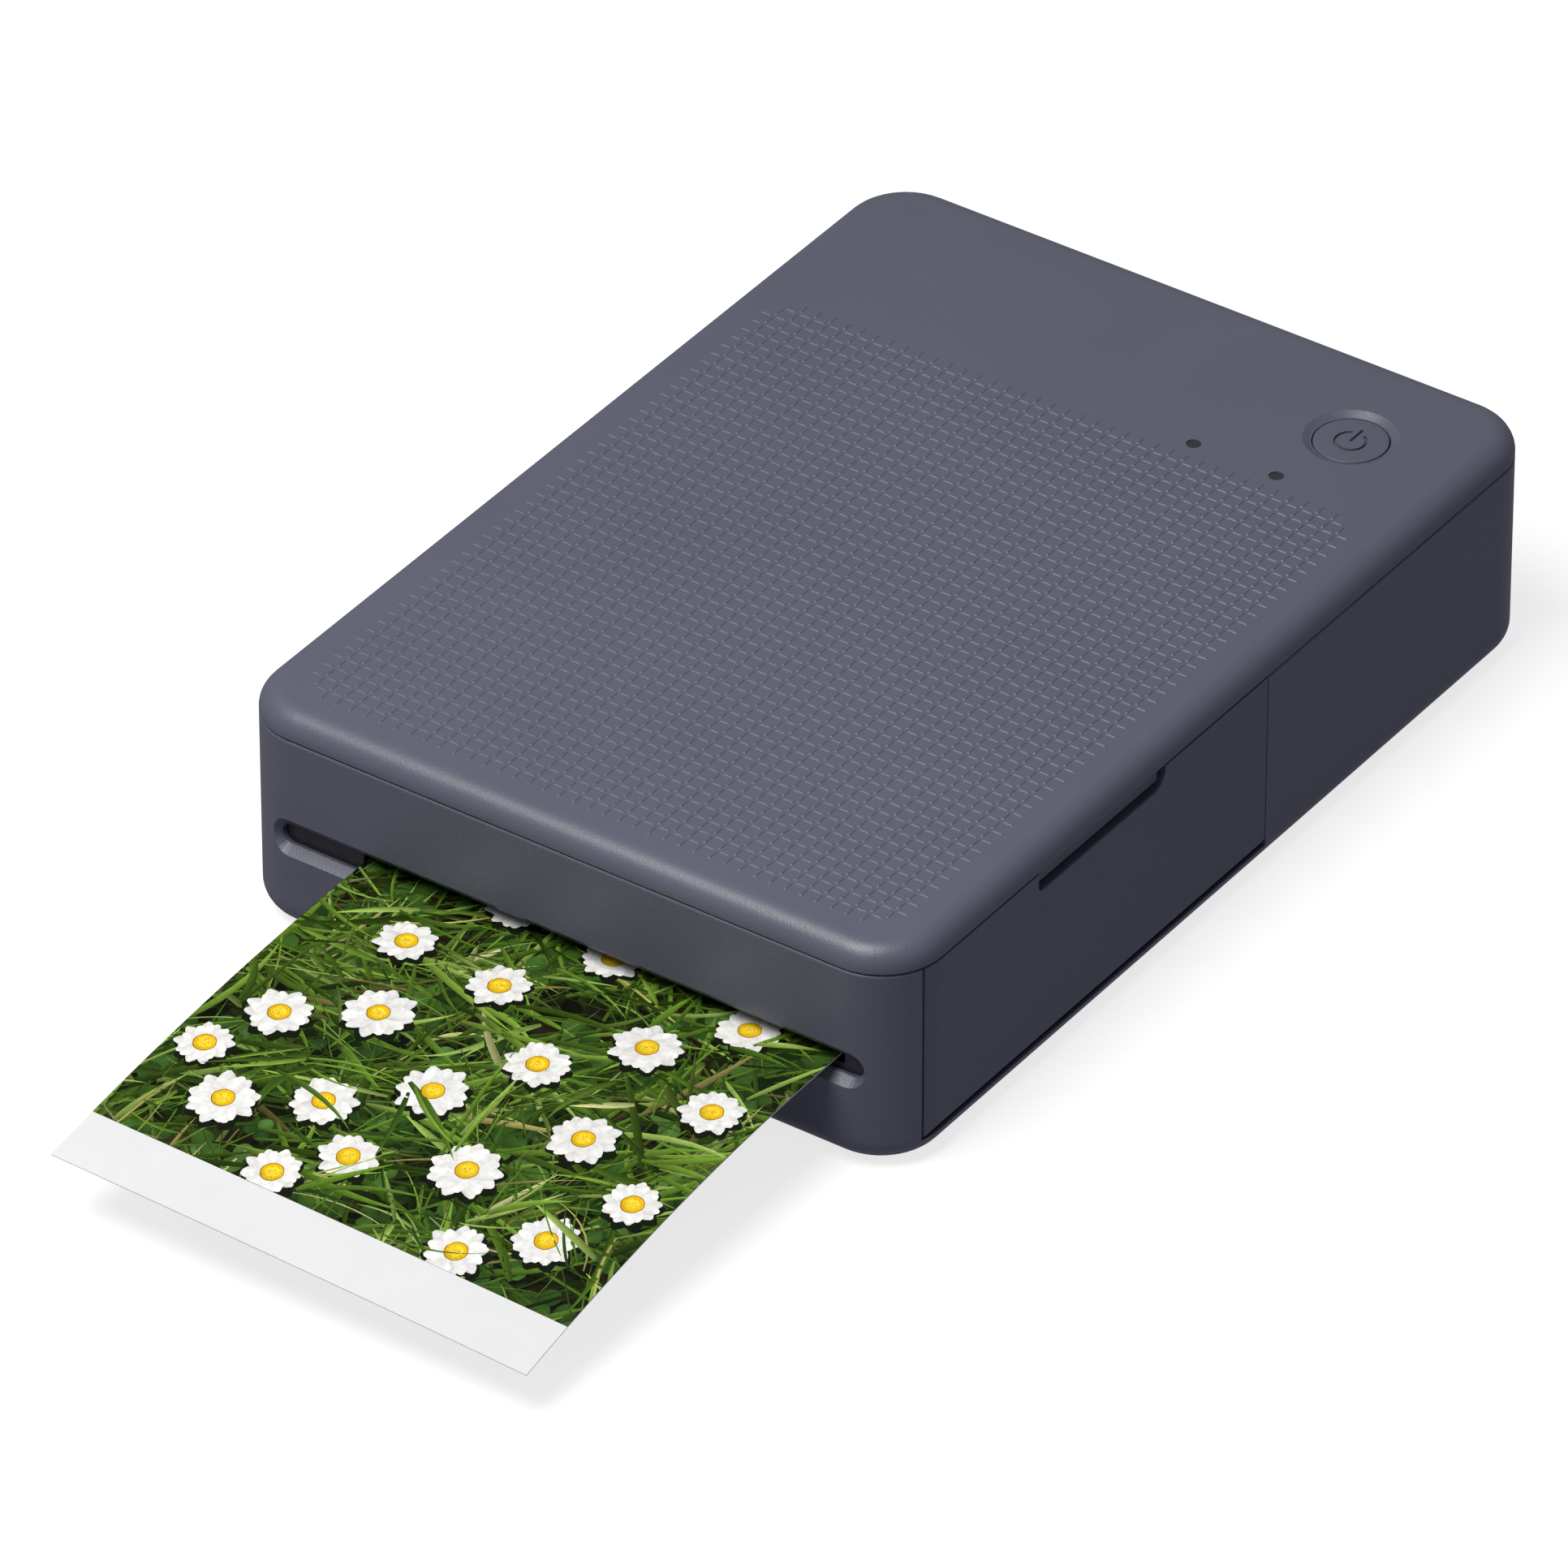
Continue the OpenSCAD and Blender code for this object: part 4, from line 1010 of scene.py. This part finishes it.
class Outline(Enum):
    """How a painted stroke's width runs along it, from its root to its tip."""

    BLADE = (0.55, 0.9, 1.0, 0.95, 0.82, 0.6, 0.34, 0.04)
    PETAL = (0.3, 0.66, 0.9, 1.0, 1.0, 0.9, 0.66, 0.2)
    LEAFLET = (0.12, 0.62, 0.9, 1.0, 1.0, 0.92, 0.7, 0.3)
    DISC = (0.2, 0.72, 0.93, 1.0, 1.0, 0.93, 0.72, 0.2)


Row = tuple[tuple[Point, Point, Point], float]
Grass = tuple[int, Point, Point]


def tinted(colour: Colour, factor: float) -> Colour:
    """A colour made lighter or darker by a factor."""
    return (colour[0] * factor, colour[1] * factor, colour[2] * factor, 1.0)


def tints(colour: Colour, *factors: float) -> tuple[Colour, ...]:
    """A colour made lighter or darker by each factor."""
    return tuple(tinted(colour, factor) for factor in factors)


@dataclass(frozen=True)
class Stroke:
    """One painted shape of the print's picture, in millimetres on the flat sheet. It has a colour
    for its left edge, its midrib and its right edge, and a brightness at its root and its tip."""

    start: Point
    heading: float
    length: float
    width: float
    bend: float
    outline: Outline
    colours: tuple[Colour, ...]
    root: float = 0.8
    tip: float = 1.1

    def rows(self) -> list[Row]:
        """Walks along the stroke.

        Returns:
            From root to tip, the left edge, midrib and right edge, and the brightness there.
        """
        last = len(self.outline.value) - 1
        x, y = self.start
        made = []
        for index, share in enumerate(self.outline.value):
            way = index / last
            angle = self.heading + self.bend * way
            half = self.width / 2 * share
            dx, dy = math.cos(angle + math.pi / 2) * half, math.sin(angle + math.pi / 2) * half
            made.append((((x + dx, y + dy), (x, y), (x - dx, y - dy)),
                         self.root + (self.tip - self.root) * way))
            x += math.cos(angle) * self.length / last
            y += math.sin(angle) * self.length / last
        return made


def cells_under(rows: list[Row], size: float) -> set[tuple[int, int]]:
    """Finds the square cells of the sheet that a stroke covers.

    Args:
        rows: The stroke's rows.
        size: Side of a cell.

    Returns:
        The cells' columns and rows.
    """
    cells = set()
    for ((ax, ay), _, (bx, by)), _ in rows:
        count = 1 + int(math.hypot(bx - ax, by - ay) / size)
        for i in range(count + 1):
            x, y = ax + (bx - ax) * i / count, ay + (by - ay) * i / count
            cells.add((int(x / size), int(y / size)))
    return cells


@dataclass
class MeadowPicture:
    """Paints a generic meadow: dark undergrowth, clover, grass and broad-petalled blossoms.

    Lengths are in millimetres, turns in radians, and a pair is the span that a value is drawn from,
    save these: tuft_lean (middle and spread), leaf_edges and shadow_size (factors) and shadow_shift
    (a step in x and y). The sides of a kind are factors on its colour at the left edge, midrib and
    right edge, and its light is its brightness at root and tip. Grass is a number of blades, and
    spans for the factor on their colour and for their length.
    """

    width: float
    start: float
    length: float
    seed: int = 21
    shades: tuple[str, ...] = ("#141A09", "#1E280C", "#0C0F06", "#242A0F", "#1E180C")
    leaf_count: int = 2000
    leaf_margin: float = 3
    leaf_length: Point = (3, 9)
    leaf_width: Point = (1.0, 3.2)
    leaf_bend: Point = (-0.7, 0.7)
    leaf_edges: Point = (0.7, 1.2)
    leaf_rib: Point = (0.8, 1.5)
    clovers: tuple[str, ...] = ("#34551F", "#426828", "#28471A", "#4F7536", "#3A5C26")
    clover_count: int = 280
    clover_margin: float = 1
    clover_size: Point = (1.9, 3.3)
    clover_level: Point = (0.25, 0.95)
    clover_turn: Point = (-0.15, 0.15)
    clover_breadth: float = 0.95
    clover_sides: Place = (0.85, 1.3, 1.05)
    clover_light: Point = (0.75, 1.1)
    greens: tuple[str, ...] = ("#4A6B1E", "#5F8428", "#7B9E3A", "#4F7024", "#97B558", "#6C9130",
                               "#3C5A1C")
    straws: tuple[str, ...] = ("#B7B06A", "#9C8F55", "#C6C98A")
    deep_grass: Grass = (560, (0.08, 0.32), (8, 22))
    top_grass: Grass = (1400, (0.2, 1.06), (6, 22))
    over_grass: Grass = (12, (0.8, 1.15), (8, 16))
    over_every: int = 3
    straw_share: float = 0.05
    free_share: float = 0.45
    tuft_margin: float = 6
    tuft_lean: Point = (-0.6, 0.7)
    tuft_blades: tuple[int, int] = (2, 6)
    tuft_reach: float = 1.6
    tuft_fan: float = 0.35
    blade_widths: tuple[float, ...] = (0.22, 0.3, 0.42, 0.6, 0.8, 1.1)
    blade_bend: float = 0.5
    blade_sides: Place = (0.62, 1.05, 1.35)
    blade_light: Point = (0.55, 1.15)
    shadow: str = "#12190B"
    shadow_shift: Point = (0.5, 0.7)
    shadow_size: Point = (1.02, 0.62)
    petal: str = "#F1F2F0"
    petal_counts: tuple[int, ...] = (8, 9, 10)
    # Of each whorl: its turn in steps, and factors on its length and its brightness.
    whorls: tuple[Place, ...] = ((0.0, 1.0, 0.93), (0.5, 0.9, 1.04))
    petal_fan: float = 0.07
    petal_white: Point = (0.92, 1.04)
    petal_length: Point = (0.9, 1.04)
    petal_width: Point = (0.46, 0.54)
    petal_bend: float = 0.12
    petal_sides: Place = (0.8, 1.0, 0.95)
    petal_light: Point = (0.78, 1.0)
    eyes: tuple[tuple[float, str], ...] = ((1.55, "#A87A10"), (1.4, "#EDBE14"), (0.95, "#F8DC36"))
    eye_sides: Place = (0.85, 1.0, 1.05)
    eye_light: Point = (0.9, 1.0)
    pollen: tuple[str, ...] = ("#FFE56A", "#F4C820", "#B97F0C")
    pollen_count: int = 16
    pollen_far: Point = (0.1, 1.15)
    pollen_turn: Point = (0, 6.28)
    pollen_size: float = 0.3
    # Of each blossom: its middle and its radius.
    blossoms: tuple[Place, ...] = (
        (12.5, 45.5, 4.9), (23.5, 39.5, 4.5), (9.0, 29.0, 4.6), (19.5, 22.5, 5.0),
        (34.0, 31.0, 4.9), (32.0, 46.0, 4.2), (46.0, 40.5, 5.0), (42.0, 20.0, 4.5),
        (55.0, 28.5, 4.7), (61.5, 45.5, 4.4), (29.0, 10.0, 4.3), (51.5, 10.0, 4.8),
        (14.0, 9.0, 4.2), (65.5, 16.0, 4.3), (4.5, 38.5, 3.9), (25.5, 53.0, 4.1),
        (67.0, 35.0, 4.0), (53.0, 52.5, 4.4), (22.0, -4.5, 4.5), (37.5, -2.5, 4.3),
        (60.0, 0.0, 4.6), (7.0, -8.0, 4.7), (49.0, -9.5, 4.4), (29.5, -15.0, 4.6),
        (66.0, -13.5, 4.2),
    )

    def __post_init__(self) -> None:
        """Seeds the random source."""
        self.dice = random.Random(self.seed)

    def spot(self, margin: float) -> Point:
        """A place on the sheet or up to a margin beyond it."""
        x = self.dice.uniform(-margin, self.width + margin)
        return (x, self.dice.uniform(self.start - margin, self.length + margin))

    def undergrowth(self) -> list[Stroke]:
        """Dark leaves and stems that cover the ground.

        Returns:
            The leaves.
        """
        dice = self.dice
        made = []
        for _ in range(self.leaf_count):
            colour = linear(dice.choice(self.shades))
            made.append(Stroke(
                self.spot(self.leaf_margin), dice.uniform(0, math.tau),
                dice.uniform(*self.leaf_length), dice.uniform(*self.leaf_width),
                dice.uniform(*self.leaf_bend), Outline.LEAFLET,
                tints(colour, self.leaf_edges[0], dice.uniform(*self.leaf_rib),
                      self.leaf_edges[1])))
        return made

    def clover(self) -> list[Stroke]:
        """Three-leaved clover among the grass.

        Returns:
            The leaves.
        """
        dice = self.dice
        made = []
        for _ in range(self.clover_count):
            place = self.spot(self.clover_margin)
            turn, size = dice.uniform(0, math.tau), dice.uniform(*self.clover_size)
            level = dice.uniform(*self.clover_level)
            for leaf in range(3):
                colour = tinted(linear(dice.choice(self.clovers)), level)
                heading = turn + leaf * math.tau / 3 + dice.uniform(*self.clover_turn)
                made.append(Stroke(
                    place, heading, size, size * self.clover_breadth, 0.0, Outline.LEAFLET,
                    tints(colour, *self.clover_sides), *self.clover_light))
        return made

    def grass(self, count: int, level: Point, size: Point) -> list[Stroke]:
        """Blades that lie in loose tufts.

        Args:
            count: Number of blades.
            level: Darkest and brightest factor on their colours.
            size: Shortest and longest blade.

        Returns:
            The blades.
        """
        dice = self.dice
        made = []
        while len(made) < count:
            x, y = self.spot(self.tuft_margin)
            free = dice.random() < self.free_share
            tuft = dice.uniform(0, math.tau) if free else dice.gauss(*self.tuft_lean)
            for _ in range(dice.randint(*self.tuft_blades)):
                straw = dice.random() < self.straw_share
                colour = linear(dice.choice(self.straws if straw else self.greens))
                colour = tinted(colour, dice.uniform(*level))
                root = (x + dice.gauss(0, self.tuft_reach), y + dice.gauss(0, self.tuft_reach))
                made.append(Stroke(
                    root, tuft + dice.gauss(0, self.tuft_fan), dice.uniform(*size),
                    dice.choice(self.blade_widths), dice.gauss(0, self.blade_bend), Outline.BLADE,
                    tints(colour, *self.blade_sides), *self.blade_light))
        return made

    def blossom(self, x: float, y: float, reach: float) -> list[Stroke]:
        """One white blossom of two whorls of broad petals round a yellow eye, over its shadow.

        Args:
            x: Its middle.
            y: Its middle.
            reach: Its radius.

        Returns:
            Its strokes, the lowest first.
        """
        dice = self.dice
        turn, count = dice.uniform(0, math.tau), dice.choice(self.petal_counts)
        step = math.tau / count
        below = (x + self.shadow_shift[0], y + self.shadow_shift[1])
        length, width = (reach * share for share in self.shadow_size)
        made = [Stroke(below, turn + leaf * step, length, width, 0.0, Outline.PETAL,
                       (linear(self.shadow),) * 3) for leaf in range(count)]
        for whorl, size, light in self.whorls:
            for leaf in range(count):
                heading = turn + (leaf + whorl) * step + dice.gauss(0, self.petal_fan)
                white = tinted(linear(self.petal), light * dice.uniform(*self.petal_white))
                made.append(Stroke(
                    (x, y), heading, reach * size * dice.uniform(*self.petal_length),
                    reach * dice.uniform(*self.petal_width), dice.gauss(0, self.petal_bend),
                    Outline.PETAL, tints(white, *self.petal_sides), *self.petal_light))
        for size, tint in self.eyes:
            made.append(Stroke((x - size, y), 0.0, size * 2, size * 2, 0.0, Outline.DISC,
                               tints(linear(tint), *self.eye_sides), *self.eye_light))
        specks = tuple(linear(tint) for tint in self.pollen)
        for _ in range(self.pollen_count):
            angle, far = dice.uniform(0, math.tau), dice.uniform(*self.pollen_far)
            made.append(Stroke(
                (x + math.cos(angle) * far, y + math.sin(angle) * far),
                dice.uniform(*self.pollen_turn), self.pollen_size, self.pollen_size, 0.0,
                Outline.DISC, specks))
        return made

    def strokes(self) -> list[Stroke]:
        """Paints the whole picture.

        Returns:
            Its strokes from the ground up.
        """
        made = self.undergrowth()
        made += self.grass(*self.deep_grass)
        made += self.clover()
        made += self.grass(*self.top_grass)
        blossoms = [self.blossom(*place) for place in self.blossoms]
        for index, strokes in enumerate(blossoms):
            made += strokes
            if index % self.over_every == 0:
                made += self.grass(*self.over_grass)
        return made


@dataclass
class PhotoPrint:
    """The print on its way out: a stiff glossy sheet that droops in an arc, more at its right edge
    than at its left, with a white lead strip."""

    x: Point = (-31.5, 40.5)
    front_y: float = -40.75
    inner_y: float = -20.45
    reach: float = 64.3
    strip: float = 8.6
    middle_z: float = 14.5
    top_lift: float = 0.15
    thick: float = 0.15
    droop_r: Point = (402.0, 275.0)
    layer: float = 0.0008
    cell: float = 0.3
    edge_gap: float = 0.03
    columns: int = 8
    bent_rows: int = 24
    strip_rows: int = 4
    side_from: float = 0.5
    near: float = 0.0001

    def surface(self, x: float, s: float, lift: float = 0.0) -> Vector:
        """Point of the sheet's middle plane, bent as the sheet is.

        Args:
            x: Sideways place.
            s: Distance out of the front face; negative inside.
            lift: Height over the middle plane.

        Returns:
            The point in millimetres.
        """
        if s <= 0:
            return Vector((x, self.front_y - s, self.middle_z + lift))
        share = (x - self.x[0]) / (self.x[1] - self.x[0])
        bend = self.droop_r[0] + (self.droop_r[1] - self.droop_r[0]) * share
        angle = math.asin(s / bend)
        return Vector((x, self.front_y - (bend + lift) * math.sin(angle),
                       self.middle_z - bend + (bend + lift) * math.cos(angle)))

    def sheet(self) -> None:
        """Makes the sheet in place of the CAD print, with the picture's ground on its top."""
        border = self.reach - self.strip
        stations = [self.front_y - self.inner_y]
        stations += [border * i / self.bent_rows for i in range(self.bent_rows + 1)]
        stations += [border + self.strip * i / self.strip_rows
                     for i in range(1, self.strip_rows + 1)]
        shape = bmesh.new()
        bmesh.ops.create_grid(shape, x_segments=self.columns, y_segments=len(stations) - 1,
                              size=1.0)
        flat = {v: (sum(self.x) / 2 + v.co.x * (self.x[1] - self.x[0]) / 2, stations[row])
                for v, row in zip(shape.verts, grid_lines(shape, 1))}
        for face in shape.faces:
            middle = sum(flat[v][1] for v in face.verts) / len(face.verts)
            face.material_index = int(middle < border)
        for vert, place in flat.items():
            vert.co = self.surface(*place, self.top_lift)
        bmesh.ops.recalc_face_normals(shape, faces=shape.faces)
        face_up(shape)
        bmesh.ops.solidify(shape, geom=shape.faces[:], thickness=self.thick)
        shape.normal_update()
        # Faces that stand on edge take the edge finish with its painted light, and the underside
        # takes the white back.
        for face in shape.faces:
            if face.normal.z < self.side_from:
                face.material_index = 2 if face.normal.z > -self.side_from else 0
        made = finished_piece(shape, "print_sheet", "photo_print", "photo_paper",
                              STOCK, GROUND, PAINTED_LIGHT_EDGE)
        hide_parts("photo_print")

    def ribbons(self, count: int) -> Shape:
        """Makes a flat grid cut into ribbons, one for each stroke.

        Args:
            count: Number of ribbons, each with three columns of points.

        Returns:
            The ribbons, whose point of a row and column has the index row * 3 * count + column.
        """
        shape = bmesh.new()
        columns = 3 * count
        bmesh.ops.create_grid(shape, x_segments=columns - 1,
                              y_segments=len(Outline.BLADE.value) - 1, size=1.0)
        shape.verts.ensure_lookup_table()
        gaps = [f for f in shape.faces if min(v.index % columns for v in f.verts) % 3 == 2]
        bmesh.ops.delete(shape, geom=gaps, context="FACES_ONLY")
        loose = [e for e in shape.edges if not e.link_faces]
        bmesh.ops.delete(shape, geom=loose, context="EDGES")
        shape.verts.ensure_lookup_table()
        return shape

    def picture(self) -> None:
        """Lays the picture's strokes on the sheet, each just over those it crosses."""
        width = self.x[1] - self.x[0] - 2 * self.edge_gap
        start = self.front_y - self.inner_y + self.edge_gap
        length = self.reach - self.strip
        strokes = MeadowPicture(width, start, length).strokes()
        shape = self.ribbons(len(strokes))
        dye = shape.verts.layers.float_color.new(DYE.attribute)
        heights: dict[tuple[int, int], int] = {}
        for index, stroke in enumerate(strokes):
            rows = stroke.rows()
            cells = cells_under(rows, self.cell)
            level = 1 + max((heights.get(cell, 0) for cell in cells), default=0)
            heights.update((cell, level) for cell in cells)
            for step, (points, light) in enumerate(rows):
                for column, (point, colour) in enumerate(zip(points, stroke.colours)):
                    vert = shape.verts[(step * len(strokes) + index) * 3 + column]
                    vert.co = Vector((*point, level * self.layer))
                    vert[dye] = tinted(colour, light)
        LOG.info("picture: %d strokes in %d layers", len(strokes), max(heights.values()))
        for place, normal in (((0, 0, 0), (-1, 0, 0)), ((width, 0, 0), (1, 0, 0)),
                              ((0, start, 0), (0, -1, 0)), ((0, length, 0), (0, 1, 0))):
            bmesh.ops.bisect_plane(shape, geom=everything(shape), plane_co=place, plane_no=normal,
                                   clear_outer=True, dist=self.near)
        for vert in shape.verts:
            x, s, lift = vert.co
            vert.co = self.surface(self.x[0] + self.edge_gap + x, s, self.top_lift + lift)
        shape.normal_update()
        face_up(shape)
        finished_piece(shape, "print_picture", "photo_print", "photo_paper", DYE)

    def build(self) -> None:
        """Makes the sheet and its picture."""
        self.sheet()
        self.picture()


def main() -> None:
    """Builds the studio and every sub-assembly in order."""
    logging.basicConfig(level=logging.INFO, format="%(name)s: %(message)s")
    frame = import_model()
    Studio().build()
    dress_nodes(frame)
    for assembly in (LidTexture(), SlotShroud(), PowerButton(), PhotoPrint()):
        assembly.build()


if __name__ == "__main__":
    main()
